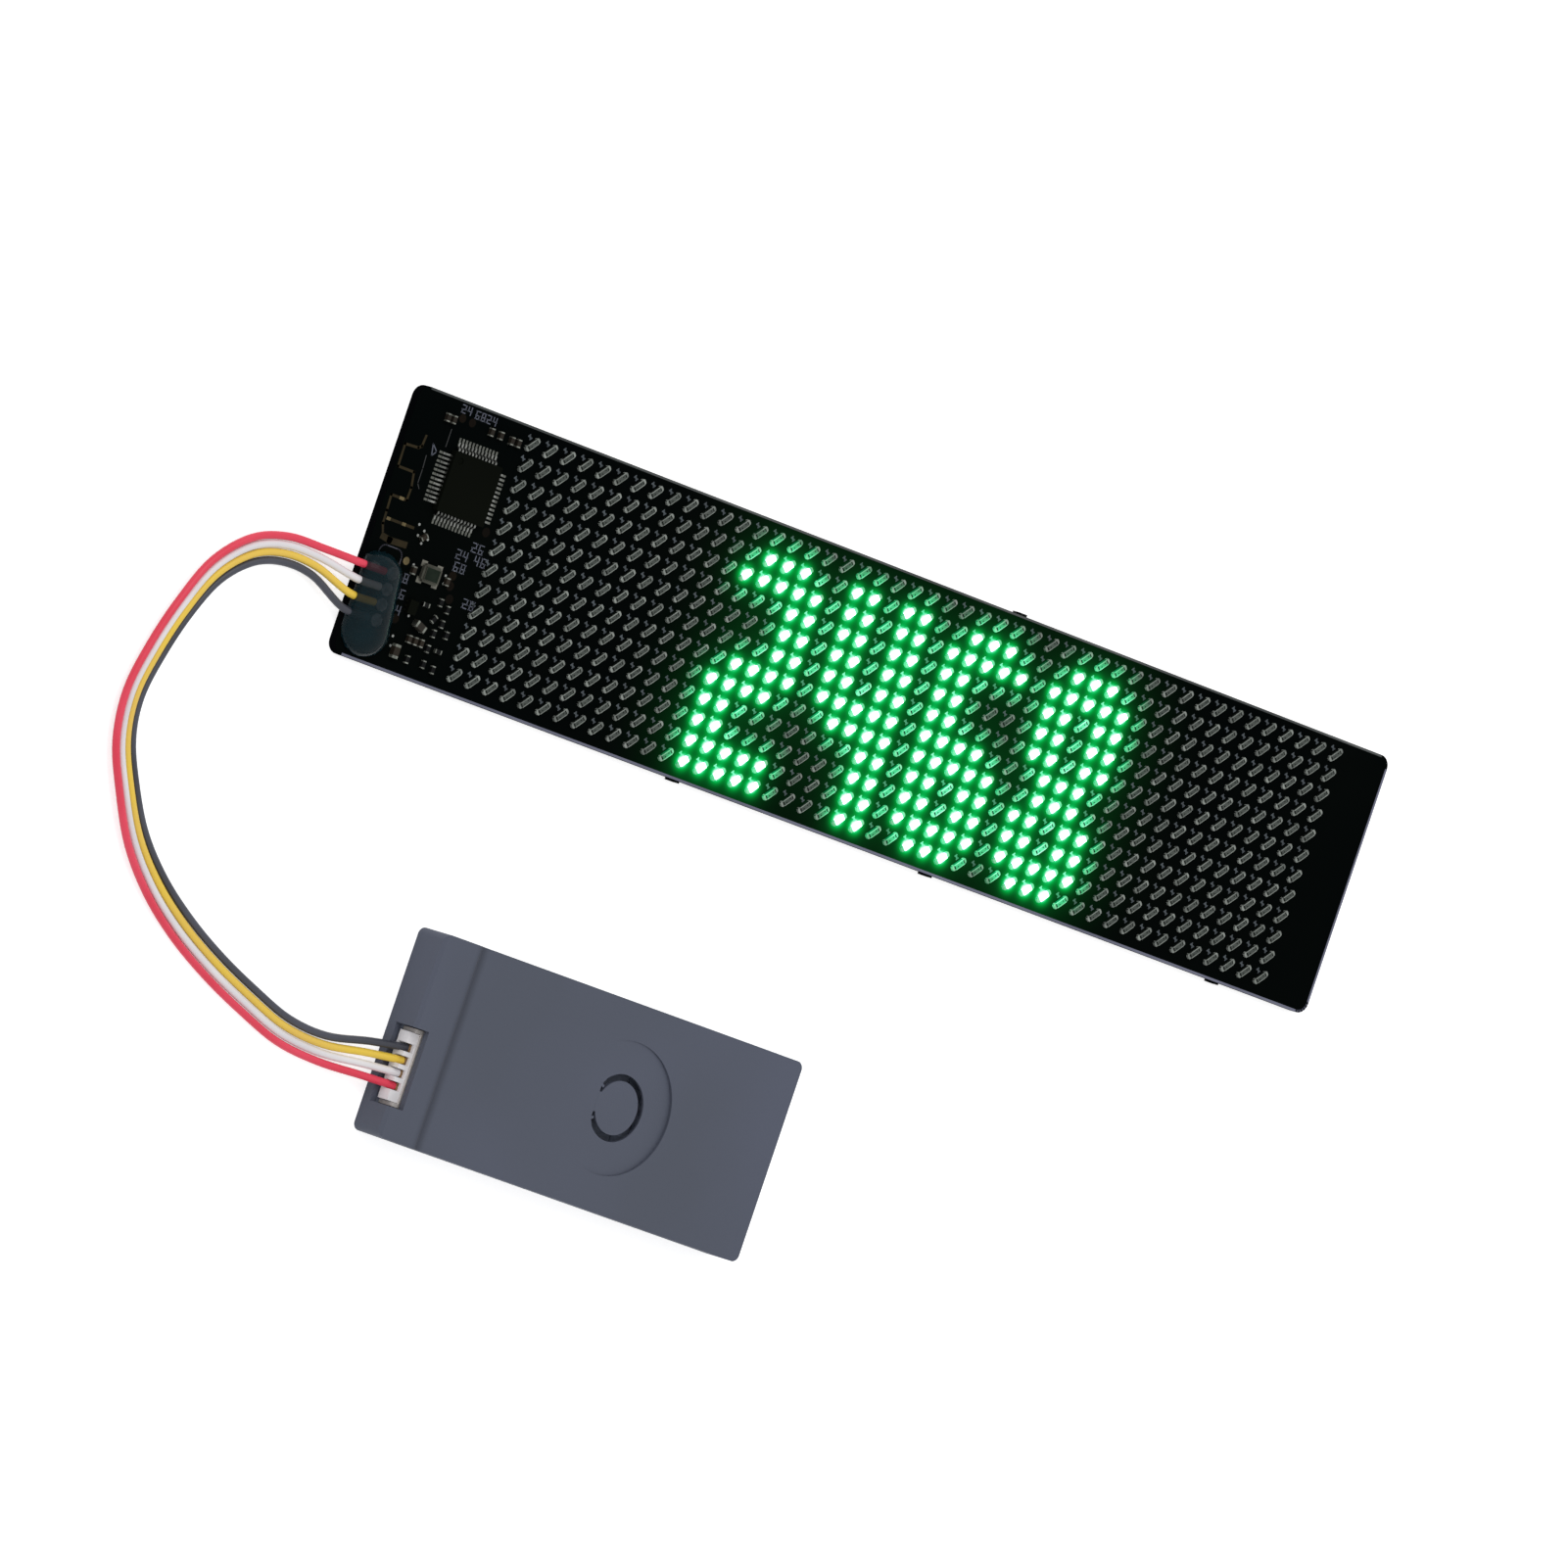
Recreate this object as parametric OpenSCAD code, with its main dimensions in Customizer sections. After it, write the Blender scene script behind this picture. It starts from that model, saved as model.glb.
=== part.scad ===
// LED dot matrix: a display board of small LEDs, a four-core lead and a flat power pack.
// Lengths are in millimetres. +X runs along the board, +Z is up.
// The origin lies on the supporting surface, at the middle of the board and pack together.

/* [Display board] */
// Length of the board
board_l = 152.6; // [150:0.2:170]
// Width of the board
board_w = 31.3; // [30.8:0.1:36]
// Thickness of the board
board_t = 1.2; // [0.8:0.1:1.3]
// Radius of the board's corners
board_r = 1.4; // [0.6:0.1:2.4]
// Width of each break-off nub on the board's edge
nub_w = 1.2; // [1:0.1:3]
// Height of each break-off nub
nub_h = 0.25; // [0.1:0.05:0.4]
// Distance of the last nub from the right end of the board
nub_end = 14.6; // [5:0.1:30]

/* [LED array] */
// Number of LED columns
columns = 48; // [24:1:48]
// Distance between columns
pitch_x = 2.7; // [2.6:0.05:2.75]
// Distance between rows
pitch_y = 2.46; // [2.42:0.02:2.48]
// First column, measured from the board's left end
first_x = 17.3; // [17:0.1:19]
// First row, measured from the board's upper edge
first_y = 1.95; // [1.7:0.05:2.1]
// Length of an LED over its soldered ends
led_l = 2.3; // [2:0.05:2.4]
// Width of an LED
led_w = 0.8; // [0.6:0.05:0.9]
// Height of an LED
led_h = 0.45; // [0.3:0.05:0.9]
// Slant of each LED to the board's long side, in degrees
led_angle = 50; // [40:1:55]

/* [Controller] */
// Middle of the controller, from the board's left end
chip_x = 10.3; // [10:0.1:11]
// Middle of the controller, from the board's upper edge
chip_y = 9.1; // [8.5:0.1:9.5]
// Side of the controller's square body
chip_side = 7; // [6.4:0.1:7.2]
// Height of the controller above the board
chip_h = 1; // [1:0.1:1.7]
// Distance between the controller's leads
lead_pitch = 0.5; // [0.4:0.05:0.5]
// Width of a lead
lead_w = 0.22; // [0.15:0.01:0.26]
// Thickness of a lead
lead_t = 0.13; // [0.1:0.01:0.16]
// How far each lead reaches beyond the body
lead_reach = 1; // [0.8:0.05:1.1]

/* [Crystal] */
// Middle of the crystal, from the board's left end
crystal_x = 9.5; // [9.2:0.1:9.8]
// Middle of the crystal, from the board's upper edge
crystal_y = 19.5; // [19:0.1:19.8]
// Length of the crystal's package
crystal_l = 2.6; // [2.2:0.1:3.2]
// Width of the crystal's package
crystal_w = 2.1; // [1.8:0.1:2.6]
// Height of the crystal's package
crystal_h = 0.6; // [0.5:0.05:0.8]

/* [Lead] */
// Diameter of each insulated wire
wire_d = 0.9; // [0.8:0.05:0.92]
// Height of each solder joint
joint_h = 1; // [0.98:0.02:1.2]
// Height of the glue bead over the joints
glue_h = 2; // [1.8:0.1:2.6]

/* [Power pack] */
// Length of the pack
pack_l = 55.4; // [54.6:0.2:62]
// Width of the pack
pack_w = 23.8; // [22.8:0.2:28]
// Height of the pack's flat top
pack_h = 4.5; // [4.4:0.1:5]
// Radius of the pack's upright corners
pack_r = 0.9; // [0.5:0.1:0.95]
// Clear distance between board and pack
pack_gap = 25.05; // [24:0.05:28]
// Left end of the pack, from the board's left end
pack_x = 25.3; // [24:0.1:40]
// Thickness of the pack's side walls
side_t = 0.8; // [0.6:0.1:1]
// Thickness of the pack's top wall
top_t = 0.8; // [0.7:0.05:0.9]
// Thickness of the pack's base plate
plate_t = 0.7; // [0.5:0.05:0.75]
// How far the ridge over the connector stands above the flat top
ridge_h = 0.4; // [0.2:0.05:0.6]
// Length of the slope at the ridge's foot
ridge_run = 0.6; // [0.6:0.1:2]
// Distance from the pack's left end to the foot of the ridge
ridge_l = 5.9; // [5:0.1:7]

/* [Button] */
// Middle of the button, from the pack's left end
button_x = 31.6; // [31.2:0.1:32]
// Diameter of the button's tongue
tongue_d = 6.2; // [5.6:0.1:6.6]
// Width of the slot around the tongue
slot_w = 0.8; // [0.5:0.05:0.8]
// Width of the tongue's root
root_w = 2.3; // [1.8:0.1:2.4]
// How much narrower the slot is beside the root
slot_step = 0.1; // [0.1:0.05:0.25]
// Diameter of the finger dish
dish_d = 15.5; // [13:0.5:16]
// Depth of the finger dish at its right edge
dish_depth = 0.4; // [0.2:0.05:0.5]

/* [Connector] */
// Distance between the connector's ways
way_pitch = 1.5; // [1.4:0.05:1.5]
// Width of the plug
plug_w = 8; // [7.6:0.1:8.1]
// Height of the plug
plug_h = 1.76; // [1.7:0.02:1.78]
// Length of the plug
plug_l = 5.2; // [4.8:0.1:5.4]
// Middle of the connector, below the pack's centre line
connector_y = 3.7; // [3.4:0.1:4]

/* [Hidden] */

$fn = 48;
eps = 0.01;
fit_gap = 0.05;
seat_gap = 0.1;

// The board and the pack, seen from the origin
half_depth = (nub_h + board_w + pack_gap + pack_w) / 2;
board_left = -board_l / 2;
board_top = half_depth - nub_h;
pack_left = board_left + pack_x;
pack_mid = pack_w / 2 - half_depth;
nubs_below = [52.4, 92, board_l - nub_end];
nubs_above = [93];

// Controller leads: each row of twelve is centred on its side
leads_a_side = 12;
lead_rise = chip_h * 0.5;
lead_foot = lead_reach * 0.5;
pin_mark_r = 0.4;
pin_mark_in = 1;
pin_mark_depth = 0.1;

// Solder joints for the lead, from the board's left end and upper edge
joint_x = 3;
joint_y = 23.65;
joint_r = 0.8;
joint_flat = joint_r * cos(22.5);
joint_pitch = 1.8;
wires = 4;

// Glue bead: centre from the left end, centre from the upper edge, radii along X and Y
glue_lobes = [[2.5, 21.4, 3.2, 2.5], [2.6, 24.4, 3.5, 2.5], [3.3, 27.9, 3.3, 2.9]];

// Heights inside the pack
pack_board_t = 0.6;
pack_board_l = 36;
pack_board_z = plate_t + pack_board_t;
roof_z = pack_h - top_t;
ridge_z = pack_h + ridge_h;
ridge_x = 0.4;

// Connector: the header fills the height between board and roof
header_wall = 0.3;
header_h = roof_z - pack_board_z;
header_side = 0.45;
header_w = plug_w + 2 * fit_gap + 2 * header_side;
header_x = 1.3;
header_back = 0.6;
plug_x = 0.7;
plug_z = pack_board_z + header_h / 2;
header_l = plug_x + plug_l + fit_gap + header_back - header_x;
slot_l = 1;
slot_gap = 0.04;
contact_side = 0.8;
contact_back = 0.3;
contact_show = 0.25;
contact_l = plug_l - slot_l - contact_back;
pin_side = 0.5;
pin_bore = pin_side + 2 * fit_gap;
pin_depth = 2.4;
pin_tail = 0.8;
pin_start = plug_x + plug_l - contact_back - pin_depth;
notch_depth = 2.1;
notch_w = header_w + 2 * seat_gap;
notch_sill = pack_board_z + 0.1;

// Button: the tongue bends at its root, and its nib meets the switch
tongue_r = tongue_d / 2;
hole_r = tongue_r + slot_w;
root_x = tongue_r + 0.1;
root_gap = 0.01;
leaf_z = roof_z + 0.25;
leaf_r = hole_r + 0.5;
step_x = root_x - 0.4;
tooth_w = 0.3;
tooth_l = slot_w * 0.7;
tooth_angle = 148;
dish_start = 3;
dish_tilt = asin(dish_depth / (dish_d / 2 + dish_start));
nib_r = 0.7;
nib_gap = 0.1;
switch_side = 3.6;
switch_h = 1.2;
plunger_r = 0.9;
plunger_top = pack_board_z + switch_h + 0.5;
plunger_room = 0.3;
plunger_seat = pack_board_z + 0.4;

// Battery cell, at the right of the pack's board
cell_gap = 0.3;
cell_x = side_t + seat_gap + pack_board_l + 0.6;
cell_l = pack_l - side_t - cell_gap - cell_x;
cell_w = pack_w - 2 * side_t - 2 * cell_gap;
cell_r = 0.8;
tab_t = 0.15;
tab_w = 2.5;
tab_l = 3;

// Small parts on the display board: from the left end, from the upper edge, turn in degrees
capacitor_places = [
    [4.7, 2.5, 90], [5.6, 2.5, 90], [11.2, 2.3, 90], [12.6, 2.3, 90], [14.3, 2.4, 90],
    [15.3, 2.4, 90], [6.9, 15.9, 45], [7, 19.7, 90], [12, 19.6, 90],
    [9.5, 27, 90], [10.4, 27, 90], [11.3, 27, 90]
];
resistor_places = [
    [10.3, 22.8, 0], [12.2, 22, 90], [13.4, 22.5, 90], [12, 24, 60], [13.3, 24.2, 90],
    [12.6, 25.5, 90], [14.4, 25.2, 90], [12.5, 27.3, 90], [14, 27.2, 0],
    [14.1, 29.3, 90], [12.6, 29.1, 90], [10.2, 29.2, 90]
];
small_l = 1;
small_w = 0.5;
capacitor_h = 0.5;
resistor_h = 0.35;
regulator_place = [8.4, 23.6, 0];
bead_place = [10.2, 25.3, -20];
diode_place = [8.1, 28.8, 90];
medium_l = 1.6;
medium_w = 0.8;

// Small parts on the pack's board: from the pack's left end, then as a share of the pack's width
converter_place = [14, 0.19];
inductor_place = [22, -0.25];
inductor_side = 4;
inductor_h = 1.9;
pack_capacitor_places = [[19, 0.21], [19, 0.3], [9.6, 0.19], [26.6, -0.31], [17.6, -0.25]];
tab_spread = 0.17;

// Route of the lead's middle: X, Y, Z, distance between wires, lean from wire to wire
route = [
    [-73.3, 16.3, 1.7, 1.8, 0], [-77, 16.3, 1.7, 1.8, 0], [-82, 17.4, 1.1, 1.1, 0],
    [-86.5, 17.5, 0.5, 0.96, 0], [-91, 16.1, 0.46, 0.96, 0.1], [-95, 12.6, 0.46, 0.95, 0.2],
    [-97.6, 7.6, 0.46, 0.92, 0.26], [-99.4, 2.2, 0.46, 0.92, 0.26], [-100.4, -3.2, 0.46, 0.92, 0.26],
    [-99.6, -8.3, 0.46, 0.92, 0.26], [-97, -13.2, 0.46, 0.92, 0.26], [-93.4, -18.2, 0.46, 0.95, 0.2],
    [-88.6, -22.4, 0.46, 0.96, 0.1], [-83, -25.8, 0.46, 0.96, 0], [-77.2, -28.5, 0.46, 0.96, 0],
    [-71.2, -30.7, 0.46, 0.96, 0], [-65.2, -32.5, 0.5, 0.96, 0], [-59.5, -33, 1, 1, 0],
    [-54, -32.4, 2, 1.3, 0], [-49.3, -32, 2.5, 1.5, 0]
];
last = len(route) - 1;
wire_sides = 8;

function unit(v) = v / norm(v);
function spot(i) = [route[i].x, route[i].y, route[i].z];
function heading(i) =
    i == 0 ? [-1, 0, 0] :
    i == last ? [1, 0, 0] :
    unit(spot(i + 1) - spot(i - 1));
function right_of(i) = unit(cross(heading(i), [0, 0, 1]));
function wire_point(i, k) =
    spot(i) + right_of(i) * ((wires - 1) / 2 - k) * route[i][3] + [0, 0, (wires - 1 - k) * route[i][4]];
function ring(i, k) = [
    for (s = [0 : wire_sides - 1])
        let (a = (s + 0.5) * 360 / wire_sides)
        wire_point(i, k)
            + wire_d / 2 * (cos(a) * right_of(i) + sin(a) * cross(right_of(i), heading(i)))
];

// Places a child by its distance from the board's left end and upper edge, on the board's top
module on_board(x, y, turn = 0) {
    translate([board_left + x, board_top - y, board_t]) rotate(turn) children();
}

// Places a child where a list says: from the left end, from the upper edge, turn
module at_place(p) {
    on_board(p[0], p[1], p[2]) children();
}

// Places a child by its distance from the pack's left end, on the pack's centre line
module in_pack(x = 0, y = 0, z = 0) {
    translate([pack_left + x, pack_mid + y, z]) children();
}

// Places a child on the pack's board, with its Y as a share of the pack's width
module on_pack_board(p) {
    in_pack(p[0], p[1] * pack_w, pack_board_z) children();
}

module rounded_rect(l, w, r) {
    square([l - 2 * r, w], center = true);
    square([l, w - 2 * r], center = true);
    for (sx = [-1, 1], sy = [-1, 1])
        translate([sx * (l / 2 - r), sy * (w / 2 - r)]) circle(r);
}

module block(l, w, h) {
    translate([-l / 2, -w / 2, 0]) cube([l, w, h]);
}

module display_board() {
    color("#0b0e12") linear_extrude(board_t) {
        translate([0, board_top - board_w / 2]) rounded_rect(board_l, board_w, board_r);
        for (x = nubs_below)
            translate([board_left + x - nub_w / 2, board_top - board_w - nub_h]) square([nub_w, 1]);
        for (x = nubs_above)
            translate([board_left + x - nub_w / 2, board_top + nub_h - 1]) square([nub_w, 1]);
    }
}

module led_row(row) {
    color("#9aa39a")
        for (c = [0 : columns - 1])
            on_board(first_x + c * pitch_x, first_y + row * pitch_y, led_angle)
                block(led_l, led_w, led_h);
}

module controller_body() {
    mark = chip_side / 2 - pin_mark_in;
    color("#15181b") on_board(chip_x, chip_y) difference() {
        translate([0, 0, lead_t]) linear_extrude(chip_h - lead_t)
            rounded_rect(chip_side, chip_side, 0.2);
        translate([-mark, mark, chip_h - pin_mark_depth]) cylinder(r = pin_mark_r, h = 1);
    }
}

// One gull-wing lead, leaving the body along +X
module gull_lead() {
    edge = chip_side / 2;
    tip = edge + lead_reach;
    bend = edge + lead_reach * 0.3;
    heel = tip - lead_foot;
    rotate([90, 0, 0]) linear_extrude(lead_w, center = true) polygon([
        [edge, lead_rise], [bend, lead_rise], [heel + lead_t * 0.6, lead_t], [tip, lead_t],
        [tip, 0], [heel, 0], [bend - lead_t * 0.6, lead_rise - lead_t], [edge, lead_rise - lead_t]
    ]);
}

module controller_leads() {
    color("#c8ccd0") on_board(chip_x, chip_y)
        for (side = [0 : 3], i = [0 : leads_a_side - 1])
            rotate(90 * side) translate([0, (i - (leads_a_side - 1) / 2) * lead_pitch, 0]) gull_lead();
}

module crystal() {
    notch_r = 0.3;
    lid_h = 0.15;
    rim = 0.3;
    color("#6d675f") on_board(crystal_x, crystal_y) difference() {
        union() {
            block(crystal_l, crystal_w, crystal_h - lid_h);
            block(crystal_l - 2 * rim, crystal_w - 2 * rim, crystal_h);
        }
        for (sx = [-1, 1], sy = [-1, 1])
            translate([sx * crystal_l / 2, sy * crystal_w / 2, -1]) cylinder(r = notch_r, h = 3);
    }
}

module chip_capacitors() {
    color("#8a7a68") for (p = capacitor_places) at_place(p) block(small_l, small_w, capacitor_h);
}

module chip_resistors() {
    color("#3b3f44") for (p = resistor_places) at_place(p) block(small_l, small_w, resistor_h);
}

module power_switch_chip() {
    body = [1.2, 1.6, 0.5];
    foot = [1.8, 0.22, 0.15];
    color("#25282b") at_place(regulator_place) union() {
        translate([0, 0, 0.1]) block(body.x, body.y, body.z);
        for (y = [-0.5, 0, 0.5]) translate([0, y, 0]) block(foot.x, foot.y, foot.z);
    }
}

module ferrite_bead() {
    color("#4c453c") at_place(bead_place) block(medium_l, medium_w, medium_w);
}

module protection_diode() {
    color("#3a352c") at_place(diode_place) union() {
        block(medium_l, medium_w, 0.15);
        block(medium_l - 0.4, medium_w, 0.7);
    }
}

module solder_joints() {
    color("#b9bec4") for (k = [0 : wires - 1])
        on_board(joint_x + joint_flat, joint_y + (k - (wires - 1) / 2) * joint_pitch)
            rotate(22.5) cylinder(r = joint_r, h = joint_h, $fn = 8);
}

module glue_bead() {
    pocket_r = wire_d / 2 + 0.08;
    color("#3c4c5a") difference() {
        intersection() {
            hull() for (g = glue_lobes)
                on_board(g[0], g[1]) scale([g[2], g[3], glue_h]) sphere(r = 1, $fn = 32);
            on_board(board_l / 2, board_w / 2) block(board_l, board_w, 2 * glue_h);
        }
        for (k = [0 : wires - 1])
            on_board(joint_x, joint_y + (k - (wires - 1) / 2) * joint_pitch) {
                translate([0, 0, wire_z(0) - board_t]) rotate([0, -90, 0])
                    cylinder(r = pocket_r, h = 4, $fn = 16);
                translate([joint_flat, 0, -1]) rotate(22.5)
                    cylinder(r = joint_r + fit_gap, h = joint_h + fit_gap + 1, $fn = 8);
            }
    }
}

function wire_z(i) = route[i].z;

// One wire, swept through a ring of points at every point of the route
module wire(k) {
    n = wire_sides;
    polyhedron(
        points = [for (i = [0 : last]) each ring(i, k)],
        faces = [
            [for (s = [0 : n - 1]) s],
            for (i = [0 : last - 1], s = [0 : n - 1])
                [i * n + s, (i + 1) * n + s, (i + 1) * n + (s + 1) % n, i * n + (s + 1) % n],
            [for (s = [n - 1 : -1 : 0]) last * n + s]
        ]
    );
}

module wire_red() { color("#e5405a") wire(0); }
module wire_white() { color("#f0eef0") wire(1); }
module wire_yellow() { color("#efcb50") wire(2); }
module wire_black() { color("#3c3e48") wire(3); }

// The ways of the connector, counted from the lower side
module each_way() {
    for (k = [0 : wires - 1])
        in_pack(0, -connector_y + (k - (wires - 1) / 2) * way_pitch, plug_z) children();
}

// A block that starts at X = 0, centred on Y and Z
module bar(l, w, h) {
    translate([0, -w / 2, -h / 2]) cube([l, w, h]);
}

module plug_housing() {
    contact_bore = contact_side + 2 * slot_gap;
    wire_slot = wire_d + 2 * slot_gap;
    color("#eeebe6") difference() {
        in_pack(plug_x, -connector_y, plug_z) bar(plug_l, plug_w, plug_h);
        each_way() {
            translate([plug_x - 1, 0, 0]) bar(plug_l + 2, contact_bore, contact_bore);
            translate([plug_x - 1, 0, 0]) bar(slot_l + 1, wire_slot, wire_slot);
            translate([plug_x - 1, -wire_slot / 2, 0]) cube([slot_l + contact_show + 1, wire_slot, plug_h]);
        }
    }
}

module plug_contacts() {
    color("#c9a56a") difference() {
        each_way() translate([plug_x + slot_l, 0, 0]) bar(contact_l, contact_side, contact_side);
        each_way() translate([pin_start - fit_gap, 0, 0]) bar(pin_depth + 1, pin_bore, pin_bore);
    }
}

module header_housing() {
    cavity_w = plug_w + 2 * fit_gap;
    cavity_h = header_h - 2 * header_wall;
    color("#cfc4b2") difference() {
        in_pack(header_x, -connector_y, plug_z) bar(header_l, header_w, header_h);
        in_pack(header_x - 1, -connector_y, plug_z) bar(header_l - header_back + 1, cavity_w, cavity_h);
        in_pack(header_x - 1, -connector_y - cavity_w / 2, plug_z)
            cube([notch_depth + seat_gap - header_x + 1, cavity_w, header_h]);
        each_way() translate([header_x, 0, 0]) bar(header_l + 1, pin_side, pin_side);
    }
}

module header_pins() {
    pin_end = header_x + header_l + pin_tail;
    drop = plug_z - pack_board_z;
    color("#d6d8da") each_way() {
        translate([pin_start, 0, 0]) bar(pin_end - pin_start, pin_side, pin_side);
        translate([pin_end - pin_side, -pin_side / 2, -drop])
            cube([pin_side, pin_side, drop + pin_side / 2]);
    }
}

// Side view of the pack, shrunk by a wall at the ends and roof
module pack_side(wall, roof, from_z) {
    polygon([
        [wall, from_z], [pack_l - wall, from_z], [pack_l - wall, pack_h - roof],
        [ridge_l, pack_h - roof], [ridge_l - ridge_run, ridge_z - roof], [wall + ridge_x, ridge_z - roof],
        [wall, ridge_z - roof - ridge_x]
    ]);
}

module across_pack(w) {
    in_pack() rotate([90, 0, 0]) linear_extrude(w, center = true) children();
}

// The finger dish leans down to the right, so that only its right edge stands proud
module dish() {
    in_pack(button_x - dish_start, 0, pack_h) rotate([0, dish_tilt, 0])
        translate([dish_start, 0, 0]) cylinder(d = dish_d, h = 2, $fn = 96);
}

// A disc that is cut off straight at X = -cut
module cut_disc(r, cut, h) {
    intersection() {
        cylinder(r = r, h = h, $fn = 64);
        translate([-cut, -r, 0]) cube([cut + r + 1, 2 * r, h]);
    }
}

// The hole that the tongue lies in: narrower beside the root, with a tooth at each step
module tongue_hole() {
    deep = top_t + 3;
    in_pack(button_x, 0, roof_z - 1) difference() {
        union() {
            cut_disc(hole_r, step_x, deep);
            cut_disc(hole_r - slot_step, root_x, deep);
        }
        for (side = [-1, 1]) rotate(side * tooth_angle)
            translate([hole_r - tooth_l, -tooth_w / 2, -1]) cube([1, tooth_w, deep + 2]);
    }
}

module pack_cover() {
    color("#565a66") difference() {
        intersection() {
            across_pack(pack_w) pack_side(0, 0, 0);
            in_pack(pack_l / 2) linear_extrude(ridge_z + 1) rounded_rect(pack_l, pack_w, pack_r);
        }
        across_pack(pack_w - 2 * side_t) pack_side(side_t, top_t, -1);
        in_pack(-1, -connector_y - notch_w / 2, notch_sill)
            cube([notch_depth + 1, notch_w, ridge_z]);
        dish();
        tongue_hole();
        in_pack(button_x, 0, roof_z - 1) cylinder(r = leaf_r, h = leaf_z - roof_z + 1);
    }
}

module pack_base() {
    color("#4c505b") in_pack(pack_l / 2)
        linear_extrude(plate_t)
            rounded_rect(pack_l - 2 * side_t - 2 * seat_gap, pack_w - 2 * side_t - 2 * seat_gap, 0.5);
}

module button_tongue() {
    tab_back = root_x - root_gap;
    leaf_t = pack_h - leaf_z;
    color("#5b5f6b") union() {
        difference() {
            in_pack(button_x, 0, leaf_z) {
                cylinder(r = tongue_r, h = leaf_t, $fn = 64);
                translate([-tab_back, -root_w / 2, 0]) cube([tab_back, root_w, leaf_t]);
            }
            dish();
        }
        in_pack(button_x, 0, plunger_top + nib_gap)
            cylinder(r = nib_r, h = leaf_z - plunger_top - nib_gap + eps);
    }
}

module switch_body() {
    color("#2a2c30") in_pack(button_x, 0, pack_board_z) difference() {
        block(switch_side, switch_side, switch_h);
        translate([0, 0, plunger_seat - plunger_room - pack_board_z])
            cylinder(r = plunger_r + fit_gap, h = switch_h + 1);
    }
}

module switch_plunger() {
    color("#d9d4c8") in_pack(button_x, 0, plunger_seat)
        cylinder(r = plunger_r, h = plunger_top - plunger_seat);
}

module pack_board() {
    color("#8d94a3") in_pack(side_t + seat_gap + pack_board_l / 2, 0, plate_t)
        block(pack_board_l, pack_w - 2 * side_t - 2 * seat_gap, pack_board_t);
}

module converter_chip() {
    body = [3.9, 4.9, 1.4];
    foot = [0.4, 6, 0.2];
    foot_pitch = 1;
    color("#1b1e21") on_pack_board(converter_place) union() {
        translate([0, 0, foot.z - 0.05]) block(body.x, body.y, body.z);
        for (i = [-1.5 : 1 : 1.5]) translate([i * foot_pitch, 0, 0]) block(foot.x, foot.y, foot.z);
    }
}

module power_inductor() {
    flange = 0.4;
    color("#3d4044") on_pack_board(inductor_place) union() {
        block(inductor_side, inductor_side, flange);
        cylinder(d = inductor_side - flange, h = inductor_h);
        translate([0, 0, inductor_h - flange]) cylinder(d = inductor_side, h = flange);
    }
}

module pack_capacitors() {
    color("#9a8465") for (p = pack_capacitor_places)
        on_pack_board(p) block(medium_l, medium_w, medium_w);
}

module battery_cell() {
    color("#b8bcc2") in_pack(cell_x + cell_l / 2, 0, plate_t)
        linear_extrude(roof_z - plate_t - cell_gap) rounded_rect(cell_l, cell_w, cell_r);
}

module cell_tabs() {
    color("#c2c5c8") for (side = [-1, 1])
        on_pack_board([cell_x - tab_l / 2, side * tab_spread]) block(tab_l, tab_w, tab_t);
}

display_board();
led_row(0);  // led_row_1
led_row(1);  // led_row_2
led_row(2);  // led_row_3
led_row(3);  // led_row_4
led_row(4);  // led_row_5
led_row(5);  // led_row_6
led_row(6);  // led_row_7
led_row(7);  // led_row_8
led_row(8);  // led_row_9
led_row(9);  // led_row_10
led_row(10);  // led_row_11
led_row(11);  // led_row_12
controller_body();
controller_leads();
crystal();
chip_capacitors();
chip_resistors();
power_switch_chip();
ferrite_bead();
protection_diode();
solder_joints();
glue_bead();
wire_red();
wire_white();
wire_yellow();
wire_black();
plug_housing();
plug_contacts();
header_housing();
header_pins();
pack_cover();
pack_base();
button_tongue();
switch_body();
switch_plunger();
pack_board();
converter_chip();
power_inductor();
pack_capacitors();
battery_cell();
cell_tabs();
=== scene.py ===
# %% [markdown]
# # LED dot matrix display
#
# The object is a black circuit board with 48 by 12 small LEDs, a four-core lead and a flat
# battery pack with a push button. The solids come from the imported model, which is loaded
# as a fixed frame. Everything here is in metres, in the same frame.

# %% Load the frame
import math

import bmesh
import bpy
import numpy as np
from mathutils import Matrix, Vector


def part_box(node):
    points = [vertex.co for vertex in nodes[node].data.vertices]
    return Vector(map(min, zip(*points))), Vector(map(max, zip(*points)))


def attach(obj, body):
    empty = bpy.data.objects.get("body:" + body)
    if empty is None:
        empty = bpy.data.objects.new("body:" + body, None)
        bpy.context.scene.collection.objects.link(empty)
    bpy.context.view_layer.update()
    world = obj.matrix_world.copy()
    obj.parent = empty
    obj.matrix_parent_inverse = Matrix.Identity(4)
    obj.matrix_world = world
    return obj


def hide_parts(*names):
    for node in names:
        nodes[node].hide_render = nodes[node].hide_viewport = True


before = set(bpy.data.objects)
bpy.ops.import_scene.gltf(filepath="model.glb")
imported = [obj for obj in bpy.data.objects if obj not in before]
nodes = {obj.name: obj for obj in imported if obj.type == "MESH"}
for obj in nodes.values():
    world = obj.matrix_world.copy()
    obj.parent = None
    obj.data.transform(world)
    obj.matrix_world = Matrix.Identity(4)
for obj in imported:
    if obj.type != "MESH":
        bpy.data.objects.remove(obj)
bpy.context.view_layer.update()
scene = bpy.context.scene
scene.view_settings.view_transform = "Standard"
MM = 0.001

# %% [markdown]
# ## Camera
#
# The board is long and flat, and it is seen from above its controller end. A short lens
# close by would make its far end small. A long lens far away keeps its long sides almost
# parallel. The camera is turned about its own axis, so the board slants across the picture.

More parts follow.
